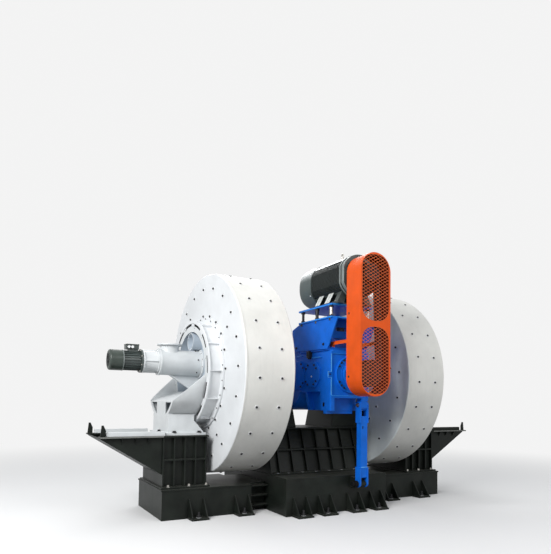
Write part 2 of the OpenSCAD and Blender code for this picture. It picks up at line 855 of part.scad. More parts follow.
module gearbox() {
    z0 = axis_h - gear_bottom;
    z1 = axis_h + gear_top;
    post_t = 34;
    heel_y = 0.52 * gear_front;
    belly_y = 0.456 * gear_front;
    color(blue) difference() {
        union() {
            difference() {
                plate_x(-gear_hx, 2 * gear_hx) union() {
                    polygon([
                        [-gear_front, z0], [-heel_y, z0], [-belly_y, belly_z],
                        [0, belly_z], [0, z1], [-gear_front, z1]]);
                    translate([0, axis_h]) circle(r = gear_hub_r);
                }
                block([-gear_hx + post_t, -gear_front - 1, z0 - 1],
                    [gear_hx + 1, -gear_front + 150, pocket_z]);
                block([arm_x - 110, -gear_front - 1, z0 - 1], [gear_hx + 1, -gear_front + 270, pocket_z]);
                both_x() side_recess(z0);
            }
            both_x() {
                side_cover(-cover_a_y, cover_a_w, 16);
                side_cover(-cover_b_y, cover_b_w, 16);
                at_axis() bar_x(gear_hx, gear_hx + 30, shaft_r + 90);
                at_axis() block([gear_hx + 20, -gear_front, -54], [gear_hx + 85, -gear_front + 24, 21]);
            }
            block([-gear_hx - 25, -gear_front, pocket_z], [gear_hx + 25, -gear_front + 40, z1 - 20]);
            block([-gear_hx - 25, -gear_front, z0], [-gear_hx + post_t, -gear_front + 40, pocket_z + 20]);
            block([gear_hx - 74, -gear_front, pocket_z - 35], [gear_hx + 25, -gear_front + 40, pocket_z + 20]);
            block([-gear_hx, -gear_front + 160, z0 - 45], [arm_x - 110, -gear_front + 230, z0 + 10]);
            arm_lug();
        }
        at_axis() bar_x(-gear_hx - 40, gear_hx + 40, shaft_r + running_gap);
        block([-gear_hx + 2, -gear_front - 1, pocket_z + 42], [gear_hx - 2, -gear_front + panel_d, z1 - 59]);
        translate([0, 0, input_z]) bar_y(-gear_front - 1, -gear_front + input_depth, input_shaft_r + running_gap);
        translate([0, -arm_y, arm_head_z])
            bar_x(arm_x - arm_eye_w, arm_x + arm_eye_w, arm_pin_r + running_gap);
    }
}

// Recess low in the gearbox side and the long hole in front of it, for the side at +X
module side_recess(z0) {
    recess_d = 80;
    hole_d = 30;
    recess_top = belly_z + 8;
    plate_x(gear_hx - recess_d, recess_d + 1) polygon([
        [-0.765 * gear_front, recess_top], [-0.78 * gear_front, z0 - 1],
        [-0.577 * gear_front, z0 - 1], [-0.493 * gear_front, recess_top]]);
    plate_x(gear_hx - hole_d, hole_d + 1) translate([-0.84 * gear_front, z0 + 88]) long_hole(14, 32);
}

// Upright long hole of radius r with centres len apart
module long_hole(r, len) {
    for (s = [-1, 1]) translate([0, s * len / 2]) circle(r = r);
    translate([-r, -len / 2]) square([2 * r, len]);
}

arm_head_z = axis_h - arm_head_drop;
arm_foot_z = mid_base_h - 100;

// Lug under the gearbox front that holds the torque arm's upper pin
module arm_lug() {
    x0 = arm_x - arm_eye_w / 2;
    plate_x(x0, arm_eye_w) polygon([
        [-gear_front + 5, pocket_z + 20], [-gear_front + 5, arm_head_z - 40], [-arm_y - 25, arm_head_z - 80],
        [-arm_y + 25, arm_head_z - 80], [-arm_y + 55, arm_head_z - 40], [-arm_y + 55, pocket_z + 20]]);
}

module input_flange() {
    ring_t = 30;
    color(blue) translate([0, 0, input_z]) difference() {
        union() {
            bar_y(-gear_front - ring_t, -gear_front + panel_d, input_r);
            bar_y(-gear_front - ring_t - 60, -gear_front - ring_t, input_r * 0.62);
        }
        bar_y(-gear_front - 100, -gear_front + panel_d + 1, input_shaft_r + running_gap);
    }
}

// Clearance between each cheek of the torque arm and its lug
cheek_gap = 0.5;

module torque_arm() {
    z0 = arm_foot_z + 90;
    z1 = arm_head_z - 163;
    x1 = arm_eye_w / 2 + cheek_gap;
    x2 = x1 + cheek_t;
    hd = arm_d / 2 + 8;
    color(blue) translate([arm_x, -arm_y, 0]) {
        difference() {
            block([-arm_w / 2, -arm_d / 2, z0], [arm_w / 2, arm_d / 2, z1]);
            plate_y(-arm_d / 2 - 1, 31) translate([-24, z1 - 166]) long_hole(9, 24);
        }
        for (s = [-1, 1]) {
            block([min(s * x1, s * x2), -hd, z1 - 100], [max(s * x1, s * x2), hd, arm_head_z]);
            block([min(s * x1, s * x2), -hd, arm_foot_z], [max(s * x1, s * x2), hd, z0 + 150]);
        }
        for (z = [arm_foot_z, arm_head_z]) translate([0, 0, z]) {
            bar_x(-x2 - 14, x2 + 14, arm_pin_r);
            for (s = [-1, 1]) bar_x(min(s * x1, s * x2), max(s * x1, s * x2), hd);
        }
    }
}

base_z = axis_h + gear_top;
bracket_front = gear_front - 80;
bracket_rear = plat_rear - 215;

// Side plates, cross plate and fixed top plate over the gearbox
module motor_bracket() {
    side_x = gear_hx + 25;
    side_t = 20;
    tip_y = plat_front + 115;
    web_y = bracket_front - 80;
    web_low = base_z + 190;
    top = low_plate_top - plate_t + 1;
    color(blue) {
        both_x() plate_x(side_x, side_t) polygon([
            [-tip_y, top - 16], [-bracket_front - 40, base_z + 70], [-bracket_front, base_z + 15],
            [-bracket_rear, base_z + 40], [-bracket_rear, top - 70], [-plat_rear, top], [-plat_front - 70, top]]);
        block([-side_x - 1, -bracket_front, base_z], [side_x + 1, -plat_rear, base_z + 45]);
        block([-plat_hx, -plat_front, low_plate_top - plate_t], [plat_hx, -plat_rear, low_plate_top]);
        plate_y(-web_y, side_t) difference() {
            translate([-side_x - 1, web_low]) square([2 * side_x + 2, top - web_low]);
            translate([0, web_low + 138]) rotate(90) long_hole(30, 240);
        }
    }
}

screw_x = plat_hx - 40;
screw_y = [-plat_rear - 70, -(plat_rear + plat_front) / 2 - 12, -plat_front + 75];

module motor_plate() {
    color(blue) difference() {
        block([-plat_hx, -plat_front, top_plate_top - plate_t], [plat_hx, -plat_rear, top_plate_top]);
        for (x = [-screw_x, screw_x], y = screw_y)
            translate([x, y, top_plate_top - plate_t - 1]) cylinder(h = plate_t + 2, r = screw_r + 1);
    }
}

module adjusting_screws() {
    nut_h = 24;
    color(steel) for (x = [-screw_x, screw_x], y = screw_y) translate([x, y, 0]) {
        translate([0, 0, low_plate_top]) cylinder(h = top_plate_top - low_plate_top + 6, r = screw_r);
        translate([0, 0, low_plate_top]) cylinder(h = nut_h, r = screw_r * 1.8, $fn = 6);
        translate([0, 0, top_plate_top - plate_t - nut_h]) cylinder(h = nut_h, r = screw_r * 1.8, $fn = 6);
    }
}

// Turns a shape drawn along X to run toward -Y on the motor axis
module on_motor() {
    translate([0, 0, motor_h]) rotate([0, 0, -90]) children();
}

motor_bore_depth = 200;

// Outline across the motor axis, round with flattened sides and smaller by inset
module motor_outline(inset) {
    intersection() {
        circle(r = motor_r - inset);
        square([2 * (motor_hx - inset), 2 * motor_r], center = true);
    }
}

// Level fins on the motor's sides and upright ones above and below
module fin_outline() {
    fin_h = 26;
    fin_t = 6;
    rows = floor(0.64 * motor_r / fin_pitch);
    motor_outline(fin_h);
    intersection() {
        motor_outline(0);
        for (i = [-rows:rows]) {
            translate([-motor_r, i * fin_pitch - fin_t / 2]) square([2 * motor_r, fin_t]);
            translate([i * fin_pitch - fin_t / 2, -motor_r]) square([fin_t, 2 * motor_r]);
        }
    }
}

module main_motor() {
    box_y = (motor_rear + motor_front) / 2;
    box_half = 125;
    color(motor_grey) {
        on_motor() difference() {
            union() {
                plate_x(motor_rear, motor_front - motor_rear) fin_outline();
                plate_x(motor_front, 30) motor_outline(-3);
                plate_x(motor_front + 30, 14) motor_outline(18);
                plate_x(motor_front + 44, shield_len - 44) motor_outline(6);
            }
            bar_x(motor_front - motor_bore_depth, motor_front + shield_len + 1, motor_shaft_r + running_gap);
        }
        both_x() motor_feet();
        translate([motor_hx, -box_y, motor_h]) block([-110, -box_half, -60], [75, box_half, 120]);
    }
}

// Foot rail with slanted legs up to the motor's body, for the side at +X
module motor_feet() {
    rail_h = 28;
    leg_w = 90;
    foot_out = screw_x - screw_r - 6;
    foot_in = 200;
    leg_top = motor_h - 0.68 * motor_r;
    first_y = motor_rear + 185;
    last_y = motor_front - 60;
    block([foot_in, -last_y - 65, top_plate_top], [foot_out, -first_y + 65, top_plate_top + rail_h]);
    for (f = [0, 0.5, 1])
        plate_y(-first_y - f * (last_y - first_y) - leg_w / 2, leg_w) polygon([
            [foot_out, top_plate_top], [foot_in, top_plate_top], [foot_in - 80, leg_top],
            [0.71 * motor_r, leg_top], [foot_out, top_plate_top + rail_h]]);
}

module main_motor_cowl() {
    lap = 7;
    len = motor_rear - cowl_y;
    r = motor_r + lap;
    hx = motor_hx + lap;
    color(cowl_grey) translate([0, -motor_rear, motor_h]) rotate([0, 0, 90]) intersection() {
        fan_cowl(len, r, 70);
        block([-1, -hx, -r - 1], [len + 1, hx, r + 1]);
    }
}

// Long round-ended outline of the guard, smaller by inset
module guard_outline(inset) {
    r = guard_hx - inset;
    translate([0, guard_high]) circle(r = r);
    translate([0, guard_low]) circle(r = r);
    translate([-r, guard_low]) square([2 * r, guard_high - guard_low]);
}

guard_mid_z = (guard_low + guard_high) / 2;
window_r = guard_hx - guard_rim;
window_gap = 75;

// Height of the round end of a window next to the guard's middle, upper window when side is 1
function window_near(side) = guard_mid_z + side * (window_gap / 2 + window_r);
function window_far(side) = side > 0 ? guard_high : guard_low;

// One round-ended window, larger by grow
module guard_window(side, grow) {
    r = window_r + grow;
    low = min(window_near(side), window_far(side));
    high = max(window_near(side), window_far(side));
    translate([0, low]) circle(r = r);
    translate([0, high]) circle(r = r);
    translate([-r, low]) square([2 * r, high - low]);
}

// Guard open at the back, with an arm from each side wall to the motor bracket
module belt_guard() {
    depth = guard_front - guard_rear;
    arm_low = base_z + 75;
    arm_high = arm_low + 50;
    color(orange) {
        difference() {
            plate_y(-guard_front, depth) guard_outline(0);
            plate_y(-guard_front + guard_t, depth) guard_outline(guard_t);
            for (s = [-1, 1]) plate_y(-guard_front - 1, guard_t + 2) guard_window(s, 0);
        }
        both_x() {
            block([guard_hx - 2 * guard_t, -guard_rear - 40, arm_low], [guard_hx, -bracket_front + 70, arm_high]);
            block([guard_hx - 50, -bracket_front + 10, base_z + 45], [guard_hx, -bracket_front + 70, arm_low + 10]);
        }
    }
}

// Distance of the point x, z from the middle line of a window
function window_dist(side, x, z) = let (
    low = min(window_near(side), window_far(side)),
    high = max(window_near(side), window_far(side)),
    dz = z < low ? low - z : (z > high ? z - high : 0)) sqrt(x * x + dz * dz);

// Diamond mesh behind one window, lapping its rim, with whole openings only
module mesh_panel(side) {
    mesh_t = 4;
    lap = 12;
    slope = atan(mesh_h / mesh_w);
    open_x = (mesh_w - strand_w / sin(slope)) / 2;
    open_z = (mesh_h - strand_w / cos(slope)) / 2;
    cols = ceil(2 * window_r / mesh_w);
    rows = ceil((guard_high - guard_low) / mesh_h);
    color(orange) plate_y(-guard_front + guard_t, mesh_t) difference() {
        guard_window(side, lap);
        for (i = [-cols:cols], j = [-rows:rows]) {
            x = i * mesh_w / 2;
            z = guard_mid_z + (j + abs(i % 2) / 2) * mesh_h;
            if (window_dist(side, x, z) < window_r + lap - open_x - 1)
                translate([x, z]) polygon([[-open_x, 0], [0, -open_z], [open_x, 0], [0, open_z]]);
        }
    }
}

module guard_mesh_upper() {
    mesh_panel(1);
}

module guard_mesh_lower() {
    mesh_panel(-1);
}

belt_row_w = (belts - 1) * belt_pitch;
belt_mid_y = -(guard_front + guard_rear) / 2 - 5;

// Grooved pulley along Y with its groove row centred at y = 0
module grooved_pulley(r, bore_r) {
    half = belt_row_w / 2 + belt_pitch / 2;
    groove_w = belt_w + 2 * groove_gap;
    groove_d = belt_t + groove_gap;
    rotate([90, 0, 0]) rotate_extrude() difference() {
        translate([bore_r, -half]) square([r - bore_r, 2 * half]);
        for (i = [0:belts - 1])
            translate([r - groove_d, -belt_row_w / 2 + i * belt_pitch - groove_w / 2])
                square([groove_d + 1, groove_w]);
    }
}

module motor_pulley() {
    color(steel) translate([0, 0, motor_h]) {
        translate([0, belt_mid_y, 0]) grooved_pulley(motor_pulley_r, 0);
        bar_y(belt_mid_y, -motor_front + motor_bore_depth - 5, motor_shaft_r);
    }
}

module gearbox_pulley() {
    color(steel) translate([0, 0, input_z]) {
        translate([0, belt_mid_y, 0]) grooved_pulley(gear_pulley_r, 0);
        bar_y(belt_mid_y, -gear_front + input_depth - 10, input_shaft_r);
    }
}

// Closed outline round both pulleys at radii r1 above and r2 below
module loop_outline(r1, r2) {
    span = motor_h - input_z;
    a = asin((r2 - r1) / span);
    translate([0, motor_h]) circle(r = r1);
    translate([0, input_z]) circle(r = r2);
    polygon([
        [r1 * cos(a), motor_h + r1 * sin(a)], [-r1 * cos(a), motor_h + r1 * sin(a)],
        [-r2 * cos(a), input_z + r2 * sin(a)], [r2 * cos(a), input_z + r2 * sin(a)]]);
}

module drive_belts() {
    color([0.08, 0.08, 0.08]) for (i = [0:belts - 1])
        plate_y(belt_mid_y - belt_row_w / 2 + i * belt_pitch - belt_w / 2, belt_w) difference() {
            loop_outline(motor_pulley_r, gear_pulley_r);
            loop_outline(motor_pulley_r - belt_t, gear_pulley_r - belt_t);
        }
}

base_middle();
base_left();
base_right();
anchor_feet();
pedestal_middle();
pedestal_left();
pedestal_right();
wing_left();
wing_right();
rails_left();
rails_right();
bearing_seat_left();
bearing_seat_right();
main_bearing_left();
main_bearing_right();
end_support_left();
end_support_right();
end_cover_left();
end_cover_right();
classifier_housing_left();
classifier_housing_right();
motor_adapter_left();
motor_adapter_right();
classifier_motor_left();
classifier_motor_right();
classifier_cowl_left();
classifier_cowl_right();
drum_shell_left();
drum_shell_right();
outer_head_left();
outer_head_right();
inner_head_left();
inner_head_right();
neck_left();
neck_right();
main_shaft();
gearbox();
input_flange();
torque_arm();
motor_bracket();
motor_plate();
adjusting_screws();
main_motor();
main_motor_cowl();
belt_guard();
guard_mesh_upper();
guard_mesh_lower();
motor_pulley();
gearbox_pulley();
drive_belts();
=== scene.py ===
import math

import bmesh
import bpy
from mathutils import Matrix, Vector


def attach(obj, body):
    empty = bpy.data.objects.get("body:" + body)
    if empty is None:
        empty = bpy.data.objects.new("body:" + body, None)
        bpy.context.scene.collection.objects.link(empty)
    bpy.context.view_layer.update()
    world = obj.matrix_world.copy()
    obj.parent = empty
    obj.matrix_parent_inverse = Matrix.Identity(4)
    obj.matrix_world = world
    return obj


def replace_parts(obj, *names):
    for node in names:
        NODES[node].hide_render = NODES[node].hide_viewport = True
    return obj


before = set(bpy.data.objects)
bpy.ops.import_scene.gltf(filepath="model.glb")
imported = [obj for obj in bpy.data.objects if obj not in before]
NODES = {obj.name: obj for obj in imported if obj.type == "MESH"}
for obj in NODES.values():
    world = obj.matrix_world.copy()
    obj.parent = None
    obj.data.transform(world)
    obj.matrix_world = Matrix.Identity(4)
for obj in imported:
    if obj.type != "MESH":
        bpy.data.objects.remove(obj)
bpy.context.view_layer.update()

# Metres, X along the drum axis, -Y towards the viewer, Z up from the floor
AXIS_H = 2.04
SIDES = (("left", -1), ("right", 1))


# Shader nodes

def fill(nt, node, **inputs):
    """Links or sets the inputs of a node. A name has _ for each space."""
    for name, value in inputs.items():
        socket = node.inputs[name.replace("_", " ")]
        if isinstance(value, bpy.types.NodeSocket):
            nt.links.new(value, socket)
        else:
            socket.default_value = value
    return node


def noise(nt, where, scale, detail, rough=0.5):
    n = nt.nodes.new("ShaderNodeTexNoise")
    return fill(nt, n, Vector=where, Scale=scale, Detail=detail, Roughness=rough).outputs["Fac"]


def ranged(nt, value, lo, hi, to_lo=0.0, to_hi=1.0, kind="LINEAR"):
    n = nt.nodes.new("ShaderNodeMapRange")
    n.interpolation_type = kind
    fill(nt, n, Value=value, From_Min=lo, From_Max=hi, To_Min=to_lo, To_Max=to_hi)
    return n.outputs["Result"]


def combine(nt, operation, a, b):
    n = nt.nodes.new("ShaderNodeMath")
    n.operation = operation
    nt.links.new(a, n.inputs[0])
    nt.links.new(b, n.inputs[1])
    return n.outputs["Value"]


def mix(nt, factor, a, b):
    n = nt.nodes.new("ShaderNodeMix")
    n.data_type = "RGBA"
    return fill(nt, n, Factor=factor, A=a, B=b).outputs["Result"]


def height_of(nt, vector):
    n = nt.nodes.new("ShaderNodeSeparateXYZ")
    return fill(nt, n, Vector=vector).outputs["Z"]


def paint(name, color, rough=0.4, spread=0.06, scale=6.0, streaks=0.0, dust=0.0, dust_top=0.6,
          dust_and_highlight_color=(0.35, 0.33, 0.30), lie=0.0, lie_from=0.75, metal=0.0, spec=0.5):
    """Paint that varies a little in tone and gloss, with a fine skin.

    streaks are darker runs, dust thins out up to dust_top, and lie mixes dust_and_highlight_color
    into faces that look up,
    from lie_from of their normal on: dust on the base, a painted highlight on the fan cowl.
    """
    m = bpy.data.materials.new(name)
    m.use_nodes = True
    nt = m.node_tree
    where = nt.nodes.new("ShaderNodeTexCoord").outputs["Object"]
    tone = noise(nt, where, scale, 5.0, 0.55)
    ramp = fill(nt, nt.nodes.new("ShaderNodeValToRGB"), Fac=tone)
    for end, place, factor in ((0, 0.32, 1.0 - spread * 1.6), (1, 0.68, 1.0 + spread)):
        ramp.color_ramp.elements[end].position = place
        ramp.color_ramp.elements[end].color = (*[c * factor for c in color], 1)
    col = ramp.outputs["Color"]
    if streaks > 0:
        tall = nt.nodes.new("ShaderNodeMapping")
        fill(nt, tall, Vector=where, Scale=(9.0, 9.0, 0.9))
        runs = ranged(nt, noise(nt, tall.outputs["Vector"], 2.2, 6.0), 0.50, 0.78, 0.0, streaks)
        col = mix(nt, runs, col, (*[c * 0.55 for c in color], 1))
    if dust > 0:
        low = ranged(nt, height_of(nt, where), 0.0, dust_top, 1.0, 0.25)
        patches = ranged(nt, noise(nt, where, 3.2, 7.0), 0.42, 0.75, 0.0, dust)
        col = mix(nt, combine(nt, "MULTIPLY", low, patches), col, (*dust_and_highlight_color, 1))
    if lie > 0:
        normal = nt.nodes.new("ShaderNodeNewGeometry").outputs["Normal"]
        level = ranged(nt, height_of(nt, normal), lie_from, 1.0, 0.0, lie)
        patches = noise(nt, where, 5.0, 2.0)
        col = mix(nt, combine(nt, "MULTIPLY", level, patches), col, (*dust_and_highlight_color, 1))
    skin = fill(nt, nt.nodes.new("ShaderNodeBump"), Height=noise(nt, where, 90.0, 3.0),
                Strength=0.1, Distance=0.002)
    gloss = ranged(nt, tone, 0.0, 1.0, rough - 0.08, rough + 0.10)
    shader = fill(nt, nt.nodes["Principled BSDF"], Base_Color=col, Roughness=gloss, Metallic=metal,
                  Normal=skin.outputs["Normal"])
    shader.inputs["Specular IOR Level"].default_value = spec
    return m


M = {
    # Base and supports
    "base": paint("base_green_black", (0.0085, 0.0112, 0.0090), 0.42, 0.25, 4.0, dust=0.10,
                  dust_top=1.2, dust_and_highlight_color=(0.085, 0.085, 0.075), spec=0.17, lie=0.55),
    "white": paint("support_white", (0.62, 0.645, 0.655), 0.36, 0.05, 5.0),
    "pale_trim_and_highlight": paint("pale_trim_and_highlight", (0.16, 0.165, 0.155), 0.45, 0.15, 12.0),
    # Drums and end covers
    "rim": paint("drum_rim_paint", (0.70, 0.70, 0.665), 0.38, 0.05, 2.2, streaks=0.10),
    "face": paint("drum_face_paint", (0.70, 0.72, 0.735), 0.36, 0.04, 2.4),
    "inner": paint("drum_inner_paint", (0.66, 0.71, 0.70), 0.40, 0.07, 2.0, streaks=0.10),
    "dish": paint("dish_shade_paint", (0.40, 0.46, 0.52), 0.45, 0.06, 5.0),
    # Gearbox, bracket and torque arm
    "blue": paint("gearbox_blue", (0.004, 0.125, 0.60), 0.36, 0.10, 5.0, spec=0.20),
    # The two lighter blues are painted highlights for lit edges
    "blue_mid": paint("blue_lit_edge", (0.02, 0.25, 0.74), 0.35, 0.10, 12.0, spec=0.4),
    "blue_edge": paint("blue_painted_highlight_edge", (0.12, 0.46, 0.86), 0.35, 0.10, 12.0),
    "breather": paint("breather_grey_brown", (0.17, 0.14, 0.115), 0.5, 0.2, 24.0, metal=0.3),
    "pin": paint("pin_brown", (0.085, 0.050, 0.026), 0.55, 0.3, 40.0, metal=0.5),
    # Motors
    "motor": paint("motor_dark", (0.034, 0.043, 0.041), 0.36, 0.15, 8.0),
    "motor_light": paint("motor_shield_grey", (0.17, 0.195, 0.19), 0.36, 0.12, 10.0),
    # On the fan cowl the near-white mix into faces that look up is a painted highlight, not dust
    "cowl": paint("cowl_grey", (0.075, 0.095, 0.094), 0.34, 0.08, 6.0, spec=0.25,
                  dust_and_highlight_color=(0.86, 0.88, 0.88), lie=2.4, lie_from=0.15),
    "band": paint("motor_painted_highlight_band", (0.66, 0.68, 0.69), 0.30, 0.08, 14.0, metal=0.2),
    "leg": paint("leg_painted_highlight", (0.60, 0.62, 0.60), 0.36, 0.10, 20.0),
    "small_motor": paint("small_motor_dark", (0.060, 0.075, 0.072), 0.34, 0.15, 10.0),
    "small_cowl": paint("small_cowl_green_grey", (0.045, 0.058, 0.050), 0.34, 0.12, 10.0,
                        spec=0.3),
    # Guard and belt drive
    "orange": paint("guard_orange", (0.70, 0.088, 0.008), 0.40, 0.05, 6.0, spec=0.20),
    "guard_inside": paint("guard_inside_painted_shade", (0.075, 0.008, 0.002), 0.6, 0.10, 8.0,
                          spec=0.15),
    "mesh": paint("guard_mesh_orange", (0.60, 0.120, 0.036), 0.42, 0.06, 8.0, spec=0.2),
    "iron": paint("pulley_iron", (0.022, 0.022, 0.024), 0.50, 0.2, 14.0, metal=0.4, spec=0.25),
    "rubber": paint("belt_rubber", (0.015, 0.015, 0.015), 0.65, 0.15, 30.0),
    # Fasteners, bare metal and dark gaps
    "bolt": paint("bolt_black", (0.020, 0.020, 0.022), 0.45, 0.20, 40.0, metal=0.4),
    "grey_bolt": paint("bolt_grey", (0.34, 0.35, 0.36), 0.40, 0.10, 40.0, metal=0.3),
    "washer": paint("washer_pale", (0.74, 0.75, 0.75), 0.40, 0.05, 30.0),
    "steel": paint("bare_steel", (0.40, 0.40, 0.41), 0.30, 0.12, 20.0, metal=1.0),
    "pale_steel": paint("screw_steel", (0.52, 0.50, 0.46), 0.32, 0.12, 30.0, metal=0.85),
    "slot": paint("slot_black", (0.004, 0.004, 0.005), 0.7, 0.2, 20.0, spec=0.1),
    "dark": paint("dark_inside", (0.012, 0.013, 0.014), 0.8, 0.2, 10.0),
}


# Paint and edges of the CAD nodes

def both(*names):
    """The names of the left and the right node of each kind."""
    return [f"{name}_{side}" for name in names for side, _ in SIDES]


LOOK = {
    "base": ["base_middle", "pedestal_middle", "anchor_feet", "rails_right"]
            + both("base", "pedestal", "wing", "bearing_seat"),
    "white": ["rails_left"] + both("end_support", "end_cover", "classifier_housing",
                                   "motor_adapter"),
    "rim": both("drum_shell"),
    "face": both("outer_head", "neck"),
    "inner": both("inner_head"),
    "blue": ["gearbox", "input_flange", "torque_arm", "motor_bracket", "motor_plate"]
            + both("main_bearing"),
    "motor": ["main_motor"],
    "cowl": ["main_motor_cowl"],
    "small_motor": both("classifier_motor"),
    "small_cowl": both("classifier_cowl"),
    "orange": ["belt_guard"],
    "mesh": ["guard_mesh_upper", "guard_mesh_lower"],
    "iron": ["motor_pulley", "gearbox_pulley"],
    "rubber": ["drive_belts"],
    "bolt": ["adjusting_screws"],
    "steel": ["main_shaft"],
}
for key, names in LOOK.items():
    for name in names:
        data = NODES[name].data
        data.materials.clear()
        data.materials.append(M[key])
        for p in data.polygons:
            p.material_index = 0


def second(name, key, test):
    """Gives a second paint to the faces that pass the test on centre and normal."""
    o = NODES[name]
    o.data.materials.append(M[key])
    turn = o.matrix_world.to_3x3()
    for p in o.data.polygons:
        if test(o.matrix_world @ p.center, turn @ p.normal):
            p.material_index = len(o.data.materials) - 1


def radius(c):
    """Distance of a point from the drum axis."""
    return math.hypot(c.y, c.z - AXIS_H)


# Edge of the drum's plates, painted shade on the dish inside the covers, and painted shade in the
# arm's long hole
for name in both("outer_head", "inner_head"):
    second(name, "rim", lambda c, n: abs(n.x) < 0.3 and radius(c) > 1.4)
for name in both("end_cover"):
    second(name, "dish", lambda c, n: radius(c) < 0.633 and abs(c.x) < 1.93)
second("torque_arm", "slot",
       lambda c, n: abs(c.x - 0.246) < 0.0345 and 1.20 < c.z < 1.31 and c.y > -1.338)


def round_edges(o, width, segments=2):
    mod = o.modifiers.new("edge", "BEVEL")
    mod.width = width
    mod.segments = segments
    mod.limit_method = "ANGLE"
    mod.angle_limit = math.radians(32)


def soften(names, width):
    """Welds CAD nodes, joins their flat triangles and rounds their sharp edges."""
    for name in names:
        o = NODES[name]
        weld = o.modifiers.new("weld", "WELD")
        weld.merge_threshold = 0.00005
        flat = o.modifiers.new("flat", "DECIMATE")
        flat.decimate_type = "DISSOLVE"
        flat.angle_limit = math.radians(0.6)
        round_edges(o, width)


soften(["base_middle", "pedestal_middle", "anchor_feet"]
       + both("base", "pedestal", "wing", "bearing_seat"), 0.004)
soften(both("rails", "end_support"), 0.003)
soften(["gearbox", "motor_bracket", "motor_plate", "torque_arm", "input_flange"], 0.004)
soften(both("main_bearing"), 0.005)
soften(both("outer_head", "inner_head", "classifier_housing", "motor_adapter"), 0.002)
soften(both("neck", "end_cover"), 0.0025)


# Camera at the photo's view, from a fit to the photo's edges

PICTURE_H = 554
FOCAL = 525.3                        # in pixels
CENTRE_ROW = 375.2                   # row of the picture that the view axis meets
YAW, PITCH, ROLL = (math.radians(a) for a in (28.86, 2.86, 0.79))
EYE = (-4.657, -7.548, AXIS_H - 0.417)


def place_camera():
    cam = bpy.data.cameras.new("camera")
    obj = bpy.data.objects.new("camera", cam)
    bpy.context.scene.collection.objects.link(obj)
    ahead = Vector((math.sin(YAW) * math.cos(PITCH), math.cos(YAW) * math.cos(PITCH),
                    math.sin(PITCH)))
    level = Vector((math.cos(YAW), -math.sin(YAW), 0))
    up = level.cross(ahead)
    right = math.cos(ROLL) * level + math.sin(ROLL) * up
    top = -math.sin(ROLL) * level + math.cos(ROLL) * up
    turn = Matrix((right, top, -ahead)).transposed().to_4x4()
    obj.matrix_world = Matrix.Translation(EYE) @ turn
    cam.sensor_width = 36.0
    cam.lens = FOCAL / PICTURE_H * cam.sensor_width
    cam.shift_y = (CENTRE_ROW - PICTURE_H / 2) / PICTURE_H
    cam.clip_end = 300
    bpy.context.scene.camera = obj


# Floor, world and lamps

PALE = (0.9, 0.9, 0.9, 1)


def looking_rays(nt):
    """One for camera, gloss and transmission rays, zero for the rays that light the object."""
    rays = nt.nodes.new("ShaderNodeLightPath").outputs
    seen = combine(nt, "MAXIMUM", rays["Is Camera Ray"], rays["Is Glossy Ray"])
    return combine(nt, "MAXIMUM", seen, rays["Is Transmission Ray"])


def blend_shaders(nt, factor, a, b, output):
    n = nt.nodes.new("ShaderNodeMixShader")
    nt.links.new(factor, n.inputs["Fac"])
    nt.links.new(a, n.inputs[1])
    nt.links.new(b, n.inputs[2])
    nt.links.new(n.outputs["Shader"], nt.nodes[output].inputs["Surface"])


def place_floor():
    """A pale floor that fades into the background far from the object."""
    half = 60
    corners = [(-half, -half, 0), (half, -half, 0), (half, half, 0), (-half, half, 0)]
    me = bpy.data.meshes.new("floor")
    me.from_pydata(corners, [], [(0, 1, 2, 3)])
    floor = bpy.data.objects.new("floor", me)
    bpy.context.scene.collection.objects.link(floor)
    m = bpy.data.materials.new("floor_pale")
    m.use_nodes = True
    nt = m.node_tree
    seen = looking_rays(nt)
    tone = mix(nt, seen, (0.26, 0.26, 0.26, 1), (0.78, 0.78, 0.78, 1))
    ground = fill(nt, nt.nodes["Principled BSDF"], Base_Color=tone, Roughness=0.8)
    length = nt.nodes.new("ShaderNodeVectorMath")
    length.operation = "LENGTH"
    nt.links.new(nt.nodes.new("ShaderNodeTexCoord").outputs["Object"], length.inputs[0])
    far = ranged(nt, length.outputs["Value"], 4.0, 13.0, kind="SMOOTHSTEP")
    glow = fill(nt, nt.nodes.new("ShaderNodeEmission"), Color=PALE)
    blend_shaders(nt, combine(nt, "MULTIPLY", far, seen), ground.outputs["BSDF"],
                  glow.outputs["Emission"], "Material Output")
    me.materials.append(m)


def place_world():
    world = bpy.data.worlds.new("studio")
    bpy.context.scene.world = world
    world.use_nodes = True
    nt = world.node_tree
    light = fill(nt, nt.nodes["Background"], Color=(0.84, 0.87, 0.90, 1), Strength=0.50)
    shown = fill(nt, nt.nodes.new("ShaderNodeBackground"), Color=PALE, Strength=1.0)
    blend_shaders(nt, looking_rays(nt), light.outputs["Background"],
                  shown.outputs["Background"], "World Output")


def area_lamp(name, place, target, size, power):
    lamp = bpy.data.lights.new(name, "AREA")
    lamp.shape = "RECTANGLE"
    lamp.size, lamp.size_y = size
    lamp.energy = power
    o = bpy.data.objects.new(name, lamp)
    bpy.context.scene.collection.objects.link(o)
    o.location = place
    o.rotation_euler = (Vector(target) - Vector(place)).to_track_quat("-Z", "Y").to_euler()


place_camera()
place_floor()
place_world()
area_lamp("key", (-9.5, -5.5, 6.5), (0, 0, 1.9), (5, 4), 1150)
area_lamp("fill", (2.5, -11.0, 8.0), (0, 0, 1.8), (6, 4), 400)
area_lamp("top", (0, 1.0, 9.5), (0, 0, 1.8), (8, 5), 105)
area_lamp("back", (3.5, 9.0, 9.5), (0, -0.5, 3.0), (9, 2.5), 420)
bpy.context.scene.view_settings.view_transform = "Standard"


# Shapes

